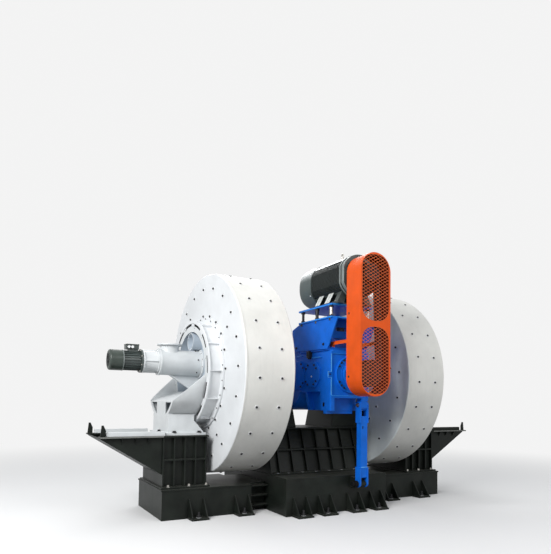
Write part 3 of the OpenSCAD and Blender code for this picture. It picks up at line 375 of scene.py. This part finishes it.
def piece(name, bm, key, body="frame", edge=0.002, segments=2):
    """Makes an object of bm that rides on the body, its edges rounded by edge."""
    me = bpy.data.meshes.new(name)
    bm.normal_update()
    bm.to_mesh(me)
    bm.free()
    me.materials.append(M[key])
    o = bpy.data.objects.new(name, me)
    bpy.context.scene.collection.objects.link(o)
    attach(o, body)
    if edge > 0:
        round_edges(o, edge, segments)
    return o


def smooth_angle(o, angle):
    """Shades an object smooth, but for edges sharper than angle."""
    for p in o.data.polygons:
        p.use_smooth = True
    o.data.set_sharp_from_angle(angle=math.radians(angle))


def loft(bm, loops, closed=False, caps=False):
    """Joins loops of the same number of verts by quads; closed joins the last to the first."""
    faces = [bm.faces.new(loops[0]), bm.faces.new(loops[-1])] if caps else []
    for p, q in zip(loops, loops[1:] + loops[:1] if closed else loops[1:]):
        for i in range(len(p)):
            j = (i + 1) % len(p)
            faces.append(bm.faces.new((p[i], p[j], q[j], q[i])))
    bmesh.ops.recalc_face_normals(bm, faces=faces)


def outline_at(bm, points, axis, v):
    """Verts for an outline of the two other coordinates, at v along axis 0, 1 or 2."""
    return [bm.verts.new((*p[:axis], v, *p[axis:])) for p in points]


def slab(bm, points, axis, a, b):
    """Adds a prism: an outline from a to b along the axis."""
    loft(bm, [outline_at(bm, points, axis, a), outline_at(bm, points, axis, b)], caps=True)


def box(bm, lo, hi):
    slab(bm, [(lo[0], lo[1]), (hi[0], lo[1]), (hi[0], hi[1]), (lo[0], hi[1])], 2, lo[2], hi[2])


def side_box(bm, sg, lo, hi):
    """A box given for the right side, mirrored to the left one where sg is -1."""
    x0, x1 = sorted((sg * lo[0], sg * hi[0]))
    box(bm, (x0, lo[1], lo[2]), (x1, hi[1], hi[2]))


def cylinder(bm, p, axis, r, h, n=16, r2=None, spin=0.0):
    """Adds a cylinder or cone with its foot at p, along axis."""
    turn = Vector(axis).normalized().to_track_quat("Z", "Y").to_matrix().to_4x4()
    place = (Matrix.Translation(Vector(p)) @ turn @ Matrix.Rotation(spin, 4, "Z")
             @ Matrix.Translation((0, 0, h / 2)))
    bmesh.ops.create_cone(bm, cap_ends=True, segments=n, radius1=r,
                          radius2=r if r2 is None else r2, depth=h, matrix=place)


def arc(cy, cz, r, n, a0=0.0, a1=360.0):
    """n points of an arc in degrees; a full circle leaves out its last point."""
    steps = n if a1 - a0 == 360 else n - 1
    turns = [math.radians(a0 + (a1 - a0) * i / steps) for i in range(n)]
    return [(cy + r * math.cos(a), cz + r * math.sin(a)) for a in turns]


def arc_band(cy, cz, r0, r1, a0, a1):
    """Outline of a piece of a flat ring."""
    return arc(cy, cz, r1, 8, a0, a1) + arc(cy, cz, r0, 8, a1, a0)


def long_hole(y, z, reach, r):
    """Outline of an upright slot with its centre at y, z."""
    return arc(y, z + reach, r, 13, 0, 180) + arc(y, z - reach, r, 13, 180, 360)


def tube_ring(bm, axis, center, r0, r1, a, b, n=96):
    """Adds a ring round an axis between the radii r0 and r1, from a to b."""
    loft(bm, [outline_at(bm, arc(*center, r, n), axis, v)
              for r, v in ((r0, a), (r1, a), (r1, b), (r0, b))], closed=True)


def spokes(n, start):
    """n directions square to the X axis, the first one start degrees above the front."""
    turns = [math.radians(start + 360 / n * k) for k in range(n)]
    return [Vector((0, -math.cos(a), math.sin(a))) for a in turns]


def ring(r, n, start, x, z=AXIS_H):
    """Points on a circle round an axis along X at height z."""
    return [Vector((x, 0, z)) + d * r for d in spokes(n, start)]


def bolts(name, points, axes, size, body="frame", key="bolt", washer_key="washer"):
    """Hexagon bolts, each on a washer. axes is one direction, or one for each point.

    size is the head's radius and height, then the washer's radius and height.
    """
    r, h, washer_r, washer_h = size
    if isinstance(axes, tuple):
        axes = [axes] * len(points)
    heads, washers = bmesh.new(), bmesh.new()
    for i, (p, axis) in enumerate(zip(points, axes)):
        v = Vector(axis).normalized()
        cylinder(washers, p, v, washer_r, washer_h, 20)
        cylinder(heads, Vector(p) + v * washer_h, v, r, h, 6, r * 0.94, spin=0.7 * i)
    piece(name, heads, key, body, 0.0)
    piece(name + "_washers", washers, washer_key, body, 0.0)


# Drum bolts

DRUM_OUT, DRUM_IN, DRUM_R = 1.758, 1.014, 1.4995
PLATE_BOLT, RIM_BOLT = (0.017, 0.014, 0.030, 0.004), (0.017, 0.010, 0.028, 0.004)
# Radius, number and first angle of the circles of bolts
OUTER_CIRCLES = ((1.287, 20, 1.9), (0.872, 20, 1.75), (1.083, 4, 33.9))
INNER_CIRCLES = ((1.287, 20, 3.15), (0.88, 20, 3.0), (1.09, 4, 7.3))
RIM_ROWS = (1.221, 1.554)
RIM_COUNT, RIM_START = 24, {"left": -4.3, "right": -3.2}

for side, sg in SIDES:
    for tag, x, out, circles in (("outer", DRUM_OUT, sg, OUTER_CIRCLES),
                                 ("inner", DRUM_IN, -sg, INNER_CIRCLES)):
        points = [p for circle in circles for p in ring(*circle, sg * x)]
        bolts(f"{tag}_bolts_{side}", points, (out, 0, 0), PLATE_BOLT, "mill_rotor")
    points = [p for x in RIM_ROWS for p in ring(DRUM_R, RIM_COUNT, RIM_START[side], sg * x)]
    bolts(f"rim_bolts_{side}", points, spokes(RIM_COUNT, RIM_START[side]) * len(RIM_ROWS),
          RIM_BOLT, "mill_rotor")


# Neck, seal clips, painted shade in the seal gap, and end cover

NECK_FACE, COVER_FACE = 1.784, 1.969
SEAL_IN, SEAL_OUT = 0.7005, 0.7302

for side, sg in SIDES:
    bolts(f"neck_bolts_{side}", ring(0.822, 24, 5.5, sg * NECK_FACE), (sg, 0, 0),
          (0.010, 0.009, 0.015, 0.002), "mill_rotor")
    bm = bmesh.new()
    for start in range(17, 377, 30):
        clip = arc_band(0, AXIS_H, 0.700, 0.7305, start, start + 10)
        slab(bm, [(-y, z) for y, z in clip], 0, sg * 1.9708, sg * 1.9748)
    piece(f"seal_clips_{side}", bm, "face", edge=0.001)
    # A black ring in the gap between the neck and the cover: painted shade
    bm = bmesh.new()
    tube_ring(bm, 0, (0, AXIS_H), SEAL_IN, SEAL_OUT, sg * 1.915, sg * 1.9712)
    piece(f"seal_gap_shade_{side}", bm, "slot", edge=0)
    bolts(f"cover_bolts_{side}", ring(0.674, 12, 15.0, sg * COVER_FACE), (sg, 0, 0),
          (0.008, 0.007, 0.013, 0.002), key="grey_bolt")


# Classifier ends

CLS_Z = AXIS_H + 0.138
MOTOR_X = 2.71                       # where the classifier motor starts
COWL_END = MOTOR_X + 0.265 + 0.200
BOX_LOW, BOX_LID, BOX_TOP = CLS_Z + 0.158, CLS_Z + 0.216, CLS_Z + 0.232
GRILLE = (COWL_END - 0.002, COWL_END + 0.003)
BAR = 0.003                          # half width of the grille's bars

for side, sg in SIDES:
    bolts(f"housing_side_bolts_{side}", ring(0.1878, 6, 13, sg * 1.912, CLS_Z), spokes(6, 13),
          (0.011, 0.012, 0.017, 0.002))
    flange = ring(0.208, 12, 15, sg * 1.846, CLS_Z)
    del flange[2:4]                  # under the outlet
    bolts(f"housing_flange_bolts_{side}", flange, (sg, 0, 0), (0.008, 0.008, 0.013, 0.002),
          key="grey_bolt")
    bolts(f"motor_flange_bolts_{side}", ring(0.158, 8, 22.5, sg * 2.734, CLS_Z), (sg, 0, 0),
          (0.008, 0.010, 0.012, 0.002), key="pale_steel", washer_key="pale_steel")
    # Terminal box with its lid, glands and screws
    bm = bmesh.new()
    side_box(bm, sg, (MOTOR_X + 0.052, -0.067, BOX_LOW), (MOTOR_X + 0.232, 0.067, BOX_LID))
    side_box(bm, sg, (MOTOR_X + 0.048, -0.071, BOX_LID + 0.0005),
             (MOTOR_X + 0.236, 0.071, BOX_TOP))
    piece(f"terminal_box_{side}", bm, "motor", edge=0.004, segments=3)
    bm = bmesh.new()
    for dx in (0.150, 0.200):
        x, z = sg * (MOTOR_X + dx), CLS_Z + 0.188
        cylinder(bm, (x, -0.067, z), (0, -1, 0), 0.017, 0.022, 16)
        cylinder(bm, (x, -0.088, z), (0, -1, 0), 0.021, 0.016, 6)
    piece(f"cable_glands_{side}", bm, "washer", edge=0.0015)
    bm = bmesh.new()
    for dx in (0.060, 0.224):
        for y in (-0.060, 0.060):
            cylinder(bm, (sg * (MOTOR_X + dx), y, BOX_TOP), (0, 0, 1), 0.006, 0.005, 8)
    piece(f"lid_screws_{side}", bm, "pale_steel", edge=0)
    # Grille and band of the fan cowl
    bm = bmesh.new()
    for r in (0.030, 0.052, 0.074, 0.096):
        tube_ring(bm, 0, (0, CLS_Z), r - BAR, r + BAR, sg * GRILLE[0], sg * GRILLE[1], 40)
    for k in range(8):
        a = math.radians(45 * k)
        c, s = math.cos(a), math.sin(a)
        bar = [(c * t - s * w, CLS_Z + s * t + c * w)
               for t, w in ((0.02, -BAR), (0.110, -BAR), (0.110, BAR), (0.02, BAR))]
        slab(bm, bar, 0, sg * GRILLE[0], sg * GRILLE[1])
    piece(f"cowl_grille_{side}", bm, "dark", edge=0)
    bm = bmesh.new()
    tube_ring(bm, 0, (0, CLS_Z), 0.1465, 0.1490, sg * (COWL_END - 0.198),
              sg * (COWL_END - 0.184), 64)
    piece(f"cowl_band_{side}", bm, "motor_light", edge=0.0008)


# Bolts of the end supports and of the base

FOOT_PLATE_TOP, END_BOX_TOP, MIDDLE_BOX_TOP = 1.164, 0.434, 0.552
ANCHOR_TOP = 0.025                   # top of an anchor foot

for side, sg in SIDES:
    points = [(sg * x, y, FOOT_PLATE_TOP) for x in (1.953, 2.320) for y in (-0.392, 0.392)]
    bolts(f"support_foot_bolts_{side}", points + [(sg * 2.424, 0.0, FOOT_PLATE_TOP)],
          (0, 0, 1), (0.024, 0.022, 0.036, 0.005), washer_key="bolt")
    points = [(sg * x, y, END_BOX_TOP) for y in (-0.532, 0.532) for x in (1.885, 2.14, 2.435)]
    bolts(f"pedestal_bolts_{side}", points, (0, 0, 1), (0.017, 0.026, 0.024, 0.004),
          key="pale_steel", washer_key="pale_trim_and_highlight")
    # Pale strips on the edges of the wing's top plates: a painted highlight
    bm = bmesh.new()
    for y0, y1 in ((-0.5385, -0.5352), (0.5352, 0.5385)):
        side_box(bm, sg, (2.512, y0, 1.1135), (3.348, y1, 1.1295))
    piece(f"wing_edge_strips_{side}", bm, "pale_trim_and_highlight", edge=0.001)

points = [(x, y, MIDDLE_BOX_TOP) for y in (-0.665, 0.665)
          for x in [0.245 * i + 0.1225 for i in range(-3, 3)] + [0.80, -0.80]]
bolts("middle_pedestal_bolts", points, (0, 0, 1), (0.013, 0.014, 0.021, 0.003),
      washer_key="grey_bolt")

feet = [(x, y) for x in (-0.68, -0.26, 0.26, 0.68) for y in (-1.2045, 1.2045)]
feet += [(sg * x, y) for _, sg in SIDES for x in (1.36, 2.05) for y in (-0.7045, 0.7045)]
bm, washers = bmesh.new(), bmesh.new()
for i, (x, y) in enumerate(feet):
    cylinder(washers, (x, y, ANCHOR_TOP), (0, 0, 1), 0.036, 0.005, 20)
    cylinder(bm, (x, y, ANCHOR_TOP + 0.005), (0, 0, 1), 0.029, 0.026, 6, spin=0.5 * i)
    cylinder(bm, (x, y, 0.0), (0, 0, 1), 0.0178, 0.100, 14)
piece("anchor_bolts", bm, "bolt", edge=0.0015)
piece("anchor_washers", washers, "grey_bolt", edge=0)


# Gearbox covers, bolts and fittings

def octagon(cy, cz, across, cut=0.29):
    h, c = across / 2, across * cut
    return [(cy - h, cz - h + c), (cy - h + c, cz - h), (cy + h - c, cz - h),
            (cy + h, cz - h + c), (cy + h, cz + h - c), (cy + h - c, cz + h),
            (cy - h + c, cz + h), (cy - h, cz + h - c)]


CASE_SIDE, COVER_SIDE = 0.3095, 0.336
CASE_FRONT = -1.3595                 # a little behind the front, so strips sit in it
COVER_BOLT, SMALL_BOLT = (0.014, 0.012, 0.017, 0.002), (0.012, 0.010, 0.016, 0.002)
# Name, middle, width and bolts of the two covers on each side
COVERS = (
    ("front", -0.850, 0.392,
     [(-0.684, 2.130), (-0.738, 2.181), (-0.908, 2.178), (-0.963, 2.128), (-0.958, 1.933),
      (-0.895, 1.888), (-0.732, 1.888), (-0.679, 1.934)]),
    ("rear", -0.410, 0.448,
     [(-0.537, 2.211), (-0.595, 2.150), (-0.595, 1.914), (-0.530, 1.860), (-0.283, 2.211),
      (-0.225, 2.150), (-0.225, 1.914), (-0.290, 1.860)]),
)

for side, sg in SIDES:
    for tag, cy, across, places in COVERS:
        bm = bmesh.new()
        slab(bm, octagon(cy, AXIS_H - 0.004, across), 0, sg * CASE_SIDE, sg * COVER_SIDE)
        piece(f"side_cover_{tag}_{side}", bm, "blue", edge=0.005, segments=3)
        bolts(f"side_cover_bolts_{tag}_{side}", [(sg * COVER_SIDE, y, z) for y, z in places],
              (sg, 0, 0), COVER_BOLT, washer_key="bolt")
    bm = bmesh.new()
    cylinder(bm, (sg * COVER_SIDE, -0.842, 2.008), (sg, 0, 0), 0.014, 0.009, 16, 0.010)
    piece(f"side_cover_plug_{side}", bm, "washer", edge=0.001)
    # Ledges along the case side, painted in the lighter blue as a highlight
    bm = bmesh.new()
    for y0, y1, z in ((-1.067, -0.830, 2.284), (-0.530, -0.400, 2.333)):
        side_box(bm, sg, (0.309, y0, z), (0.331, y1, z + 0.014))
    piece(f"case_ledge_{side}", bm, "blue_mid", edge=0.003)
    # A black fill in the oval hole of the case side: painted shade
    bm = bmesh.new()
    slab(bm, long_hole(-1.142, 1.588, 0.016, 0.0132), 0, sg * 0.296, sg * 0.3225)
    piece(f"case_hole_shade_{side}", bm, "slot", edge=0)
    bolts(f"bracket_bolts_{side}", [(sg * 0.355, y, 2.470) for y in (-1.181, -0.42)],
          (sg, 0, 0), (0.016, 0.014, 0.022, 0.003), washer_key="bolt")
    bolts(f"split_ear_bolt_{side}", [(sg * 0.3615, -1.360, AXIS_H - 0.0165)], (0, -1, 0),
          SMALL_BOLT, washer_key="blue")
    # Painted highlights: lighter blue strips on the edges of the case front and of the two plates
    bm = bmesh.new()
    for x, z0, z1 in ((0.335, 1.724, 1.975), (0.335, 2.059, 2.322), (0.3905, 1.990, 2.062)):
        side_box(bm, sg, (x - 0.0045, -1.3630, z0), (x + 0.0045, CASE_FRONT, z1))
    for z in (1.975, 2.059):
        side_box(bm, sg, (0.333, -1.3626, z), (0.393, CASE_FRONT, z + 0.005))
    piece(f"case_front_edges_{side}", bm, "blue_edge", edge=0.001)
    bm = bmesh.new()
    for z in (2.842, 3.021):
        side_box(bm, sg, (0.3698, -1.408, z), (0.3722, -0.507, z + 0.016))
    piece(f"plate_side_edges_{side}", bm, "blue_mid", edge=0.001)

bm = bmesh.new()
box(bm, (-0.372, -0.815, 2.290), (-CASE_SIDE, -0.740, 2.398))
piece("oil_switch", bm, "bolt", edge=0.006, segments=3)
bm = bmesh.new()
cylinder(bm, (-0.343, -0.778, 2.291), (0, 0, -1), 0.022, 0.016, 12)
cylinder(bm, (-0.372, -0.778, 2.345), (-1, 0, 0), 0.024, 0.006, 20)
piece("oil_switch_cap", bm, "dark")
# Painted highlight strips along the front edges of the case and of the plates
bm = bmesh.new()
box(bm, (-0.326, -1.3622, 1.716), (0.326, CASE_FRONT, 1.724))
box(bm, (-0.300, -1.3622, 2.322), (0.300, CASE_FRONT, 2.328))
box(bm, (-0.368, -1.4122, 2.842), (0.368, -1.4098, 2.858))
box(bm, (-0.368, -1.4122, 3.021), (0.368, -1.4098, 3.043))
piece("front_edges", bm, "blue_mid", edge=0.001)

bm = bmesh.new()
cylinder(bm, (0.03, -1.060, 2.586), (0, 0, 1), 0.085, 0.10, 28)
cylinder(bm, (0.03, -1.060, 2.686), (0, 0, 1), 0.062, 0.085, 28, 0.056)
piece("case_breather", bm, "breather", edge=0.005)

INPUT_Z = AXIS_H - 0.010
turns = [math.radians(mid + d) for mid in (45.0, 137.5, 222.5, 315.0) for d in (-14.6, 0, 14.6)]
points = [(0.240 * math.cos(a), -1.390, INPUT_Z + 0.240 * math.sin(a)) for a in turns]
bolts("input_flange_bolts", points, (0, -1, 0), (0.013, 0.013, 0.016, 0.002),
      washer_key="bolt")
bm = bmesh.new()
tube_ring(bm, 1, (0, INPUT_Z), 0.254, 0.268, -1.396, -1.388)
tube_ring(bm, 1, (0, INPUT_Z), 0.166, 0.188, -1.402, -1.388)
piece("input_flange_steps", bm, "blue")


# Main motor: feet with painted highlight faces, rings, painted highlight bands, fan cowl and
# lifting eye

MOTOR_H = 3.440
LEG_LOW, LEG_HIGH = 3.074, 3.2275
LEG_FACE = [(0.3055, LEG_LOW), (0.2235, LEG_HIGH), (0.2285, LEG_HIGH + 0.004),
            (0.3105, LEG_LOW + 0.002)]

for side, sg in SIDES:
    # Pale faces on the outer sides of the two lit legs: a painted highlight; the front leg is left
    # without them
    bm = bmesh.new()
    for y in (-0.905, -1.1575):
        for a, b in ((-0.092, -0.037), (-0.028, 0.030)):
            slab(bm, [(sg * x, z) for x, z in LEG_FACE], 1, y + a, y + b)
    piece(f"motor_leg_faces_{side}", bm, "leg", edge=0.001)
    bolts(f"motor_foot_bolts_{side}", [(sg * 0.262, y, 3.073) for y in (-1.032, -1.285, -1.33)],
          (0, 0, 1), (0.013, 0.014, 0.020, 0.003))


def motor_outline(grow):
    """Outline of the motor, round with flattened sides, larger by grow."""
    half = 0.288 + grow
    return [(max(-half, min(half, x)), z) for x, z in arc(0, MOTOR_H, 0.312 + grow, 96)]


for tag, grow_in, grow_out, y0, y1 in (("front", -0.008, 0.001, -1.578, -1.522),
                                       ("rear", -0.005, 0.006, -1.502, -1.472)):
    bm = bmesh.new()
    loft(bm, [outline_at(bm, motor_outline(grow), 1, y) for grow, y in
              ((grow_in, y0), (grow_out, y0), (grow_out, y1), (grow_in, y1))], closed=True)
    smooth_angle(piece(f"shield_ring_{tag}", bm, "motor_light", edge=0.003), 35)

COWL_FRONT, COWL_BEND = -0.722, -0.425
COWL_HALF_W, COWL_HALF_H = 0.2945, 0.3185

# Pale strips along the upper corners of the motor body: a painted highlight
bm = bmesh.new()
for sx in (-1, 1):
    lean = [math.radians(t) for t in range(34, 47, 2)]
    low = [(sx * 0.3155 * math.sin(a), MOTOR_H + 0.3155 * math.cos(a)) for a in lean]
    high = [(sx * 0.3185 * math.sin(a), MOTOR_H + 0.3185 * math.cos(a)) for a in lean]
    slab(bm, low + high[::-1], 1, -1.470, COWL_FRONT)
smooth_angle(piece("motor_top_bands", bm, "band", edge=0), 30)


def superellipse(a, b, power, n):
    """Points of an oval that is squarer than an ellipse."""
    out = []
    for i in range(n):
        c, s = math.cos(2 * math.pi * i / n), math.sin(2 * math.pi * i / n)
        out.append((a * math.copysign(abs(c) ** power, c), b * math.copysign(abs(s) ** power, s)))
    return out


# The cowl is straight at first and rounded towards the back
sections = [(COWL_FRONT, 1.0), (-0.700, 1.0), (-0.560, 1.0), (COWL_BEND, 0.998)]
for t in (12, 24, 36, 48, 60, 72, 84, 90):
    a = math.radians(t)
    sections.append((COWL_BEND + 0.088 * math.sin(a), 0.78 + 0.218 * math.cos(a)))
bm = bmesh.new()
loops = []
for y, size in sections:
    oval = superellipse(COWL_HALF_W * size, COWL_HALF_H * size, 2 / 2.35, 96)
    loops.append(outline_at(bm, [(x, MOTOR_H + z) for x, z in oval], 1, y))
loft(bm, loops, caps=True)
cowl = piece("motor_fan_cowl", bm, "cowl", edge=0)
smooth_angle(cowl, 40)
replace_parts(cowl, "main_motor_cowl")
bm = bmesh.new()
for r in (0.03, 0.06, 0.09, 0.12, 0.15):
    tube_ring(bm, 1, (0, MOTOR_H), r - 0.008, r + 0.008, -0.3375, -0.3358, 48)
piece("cowl_air_slots", bm, "slot", edge=0)
bm = bmesh.new()
for sx in (-1, 1):
    for z in (-0.17, 0.17):
        cylinder(bm, (sx * 0.270, -0.690, MOTOR_H + z), (sx * 0.92, 0, z), 0.010, 0.010, 12)
piece("cowl_screws", bm, "washer", edge=0.001)

EYE_Y, EYE_Z, EYE_WIRE = -1.15, 3.820, 0.0085
EYE_HALF_W, EYE_HALF_H = 0.034, 0.043
bm = bmesh.new()
cylinder(bm, (0, EYE_Y, 3.748), (0, 0, 1), 0.026, 0.022, 20)
cylinder(bm, (0, EYE_Y, 3.770), (0, 0, 1), 0.014, 0.030, 16)
turn = Matrix.Rotation(math.radians(76), 4, "Z")
loops = []
for i in range(28):
    a = 2 * math.pi * i / 28
    out = Vector((math.cos(a), 0, math.sin(a)))
    middle = Vector((EYE_HALF_W * math.cos(a), 0, EYE_HALF_H * math.sin(a)))
    wire = [middle + out * y + Vector((0, z, 0)) for y, z in arc(0, 0, EYE_WIRE, 10)]
    loops.append([bm.verts.new(turn @ p + Vector((0, EYE_Y, EYE_Z))) for p in wire])
loft(bm, loops, closed=True)
smooth_angle(piece("lifting_eye", bm, "pale_steel", edge=0), 50)


# Nuts under the fixed plate and sleeves of the adjusting screws

SCREW_X, SCREW_FRONT, SCREW_MIDDLE, SCREW_REAR = 0.330, -1.335, -0.9695, -0.575

bm = bmesh.new()
for sx in (-1, 1):
    for i, y in enumerate((SCREW_REAR, SCREW_MIDDLE, SCREW_FRONT)):
        cylinder(bm, (sx * SCREW_X, y, 2.8335), (0, 0, -1), 0.038, 0.034, 6, spin=0.3 * i)
        cylinder(bm, (sx * SCREW_X, y, 2.80), (0, 0, -1), 0.0195, 0.030, 14)
piece("screw_nuts", bm, "bolt")
for name, key, y, steps in (
        ("front_sleeves", "pale_steel", SCREW_FRONT, [(2.885, 0.0265, 0.108)]),
        ("middle_sleeves", "bolt", SCREW_MIDDLE, [(2.925, 0.030, 0.070), (2.885, 0.024, 0.042)])):
    bm = bmesh.new()
    for sx in (-1, 1):
        for z, r, h in steps:
            cylinder(bm, (sx * SCREW_X, y, z), (0, 0, 1), r, h, 20)
    piece(name, bm, key)


# Torque arm: pins, buffer, painted shade in the long hole and in the gap under the fork, and a weld
# in the highlight blue

PIN_Y, FOOT_Z, ARM_X = -1.300, 0.430, 0.270

bm = bmesh.new()
for z in (AXIS_H - 0.455, FOOT_Z):
    for sx in (-1, 1):
        cylinder(bm, (ARM_X + sx * 0.0915, PIN_Y, z), (sx, 0, 0), 0.0225, 0.014, 20, 0.020)
        cylinder(bm, (ARM_X + sx * 0.0785, PIN_Y, z), (sx, 0, 0), 0.034, 0.005, 24)
piece("arm_pin_ends", bm, "pin", edge=0.0015)
bm = bmesh.new()
cylinder(bm, (0.178, PIN_Y, FOOT_Z), (-1, 0, 0), 0.046, 0.052, 28)
cylinder(bm, (0.126, PIN_Y, FOOT_Z), (-1, 0, 0), 0.034, 0.040, 28)
piece("arm_foot_buffer", bm, "slot", edge=0.006, segments=3)
bm = bmesh.new()
cylinder(bm, (0.376, PIN_Y, FOOT_Z), (1, 0, 0), 0.020, 0.008, 20, 0.016)
piece("arm_foot_pin_cap", bm, "pale_trim_and_highlight")
# Black fills in the gap between the cheeks and in the long hole: painted shade
bm = bmesh.new()
box(bm, (0.2135, -1.262, 1.424), (0.3265, -1.256, 1.500))
slab(bm, long_hole(0.246, 1.256, 0.012, 0.0085), 1, -1.3475, -1.3215)
piece("arm_gap_and_hole_shade", bm, "slot", edge=0)
# A weld seam across the arm, painted in the lighter highlight blue
bm = bmesh.new()
box(bm, (0.216, -1.3535, 0.668), (0.324, -1.3495, 0.676))
piece("arm_weld", bm, "blue_edge", edge=0.001)


# Belt guard with flattened window ends, rolled lips and expanded mesh

GUARD_HALF, GUARD_LOW, GUARD_HIGH = 0.262, 1.972, 3.440
GUARD_FRONT, GUARD_REAR, SHEET = -1.930, -1.615, 0.006
GUARD_MIDDLE = (GUARD_HIGH + GUARD_LOW) / 2
WINDOWS = {"upper": (2.7435, 3.676), "lower": (1.736, 2.6685)}
WINDOW_HALF, WINDOW_END, WINDOW_POWER = 0.2375, 0.200, 0.86
WALL_IN = GUARD_FRONT + SHEET        # back of the front sheet


def guard_outline(r, n=48):
    """Outer outline of the guard, seen from the front."""
    half = [(r * math.cos(math.pi * i / n), r * math.sin(math.pi * i / n)) for i in range(n + 1)]
    return [(x, GUARD_HIGH + z) for x, z in half] + [(-x, GUARD_LOW - z) for x, z in half]


def window_outline(name, grow, n=40):
    """Outline of a window with flattened round ends, larger by grow."""
    low, high = WINDOWS[name]
    a, b = WINDOW_HALF + grow, WINDOW_END + grow
    half = []
    for i in range(n + 1):
        c, s = math.cos(math.pi * i / n), math.sin(math.pi * i / n)
        half.append((a * math.copysign(abs(c) ** WINDOW_POWER, c), b * max(s, 0.0) ** WINDOW_POWER))
    top, bottom = high + grow - b, low - grow + b
    return [(x, top + z) for x, z in half] + [(-x, bottom - z) for x, z in half]


bm = bmesh.new()
outlines = [guard_outline(GUARD_HALF)] + [window_outline(name, 0.0) for name in WINDOWS]
layers = []
for y in (GUARD_FRONT, WALL_IN):
    loops = [outline_at(bm, outline, 1, y) for outline in outlines]
    edges = [bm.edges.new(ends) for loop in loops for ends in zip(loop, loop[1:] + loop[:1])]
    bmesh.ops.triangle_fill(bm, use_beauty=True, use_dissolve=False, edges=edges)
    layers.append(loops)
for front, back in zip(*layers):
    loft(bm, [front, back])
outer, inner = guard_outline(GUARD_HALF), guard_outline(GUARD_HALF - SHEET)
loft(bm, [outline_at(bm, outline, 1, y) for outline, y in
          ((outer, WALL_IN), (outer, GUARD_REAR), (inner, GUARD_REAR), (inner, WALL_IN))])
bmesh.ops.remove_doubles(bm, verts=bm.verts, dist=0.00005)
bmesh.ops.recalc_face_normals(bm, faces=bm.faces)
guard = piece("belt_guard_sheet", bm, "orange", edge=0)
smooth_angle(guard, 40)
# The inner faces of the sheet get a much darker orange: painted shade
guard.data.materials.append(M["guard_inside"])
for p in guard.data.polygons:
    c = p.center
    depth = GUARD_HALF - math.hypot(c.x, c.z - min(max(c.z, GUARD_LOW), GUARD_HIGH))
    if c.y > WALL_IN - 0.0005 and depth > 0.0045:
        p.material_index = 1
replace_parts(guard, "belt_guard")

bm = bmesh.new()
for sx in (-1, 1):
    side_box(bm, sx, (0.250, -1.655, 2.455), (0.2625, -1.210, 2.505))
    side_box(bm, sx, (0.212, -1.270, 2.425), (0.2625, -1.210, 2.465))
piece("belt_guard_arms", bm, "orange")

bm = bmesh.new()
for name in WINDOWS:
    loft(bm, [outline_at(bm, window_outline(name, grow), 1, y) for grow, y in
              ((-0.005, -1.9275), (-0.005, -1.9298), (-0.001, -1.9300), (0.004, -1.9299),
               (0.004, -1.9275))], closed=True)
bmesh.ops.remove_doubles(bm, verts=bm.verts, dist=0.00002)
bmesh.ops.recalc_face_normals(bm, faces=bm.faces)
smooth_angle(piece("guard_window_lips", bm, "mesh", edge=0), 50)

# Diamonds of the mesh, and half the width and depth of a strand
MESH_W, MESH_H = 0.084, 0.048
STRAND, STRAND_DEPTH = 0.0036, 0.0018


def span_inside(outline, z, d):
    """Where the line from 0, z along d enters and leaves a convex outline."""
    hits = []
    for i, (x0, z0) in enumerate(outline):
        x1, z1 = outline[(i + 1) % len(outline)]
        ex, ez = x1 - x0, z1 - z0
        den = d[0] * ez - d[1] * ex
        if abs(den) > 1e-9 and 0 <= (x0 * d[1] - (z0 - z) * d[0]) / den < 1:
            hits.append((x0 * ez - (z0 - z) * ex) / den)
    return (min(hits), max(hits)) if len(hits) > 1 else (0.0, 0.0)


run = math.hypot(MESH_W, MESH_H)
for name in sorted(WINDOWS):
    bm = bmesh.new()
    edge = window_outline(name, 0.004)
    for lean in (-1, 1):
        dx, dz = MESH_W / run, lean * MESH_H / run
        y = -1.9236 + 0.0003 * lean
        for k in range(-40, 41):
            z = GUARD_MIDDLE + (k + 0.5) * MESH_H
            span = span_inside(edge, z, (dx, dz))
            if span[1] - span[0] < 0.01:
                continue
            loft(bm, [[bm.verts.new((t * dx - dz * w, y + back, z + t * dz + dx * w))
                       for w, back in ((-STRAND, STRAND_DEPTH), (0.0, 0.0),
                                       (STRAND, STRAND_DEPTH), (0.0, 2 * STRAND_DEPTH))]
                      for t in span], caps=True)
    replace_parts(piece(f"guard_mesh_strands_{name}", bm, "mesh", edge=0), f"guard_mesh_{name}")

walls = [(sx, z) for z in (2.863, 1.98) for sx in (-1, 1)]
bolts("guard_wall_bolts", [(sx * GUARD_HALF, -1.672, z) for sx, z in walls],
      [(sx, 0, 0) for sx, _ in walls], (0.012, 0.006, 0.016, 0.002), key="pin",
      washer_key="pin")
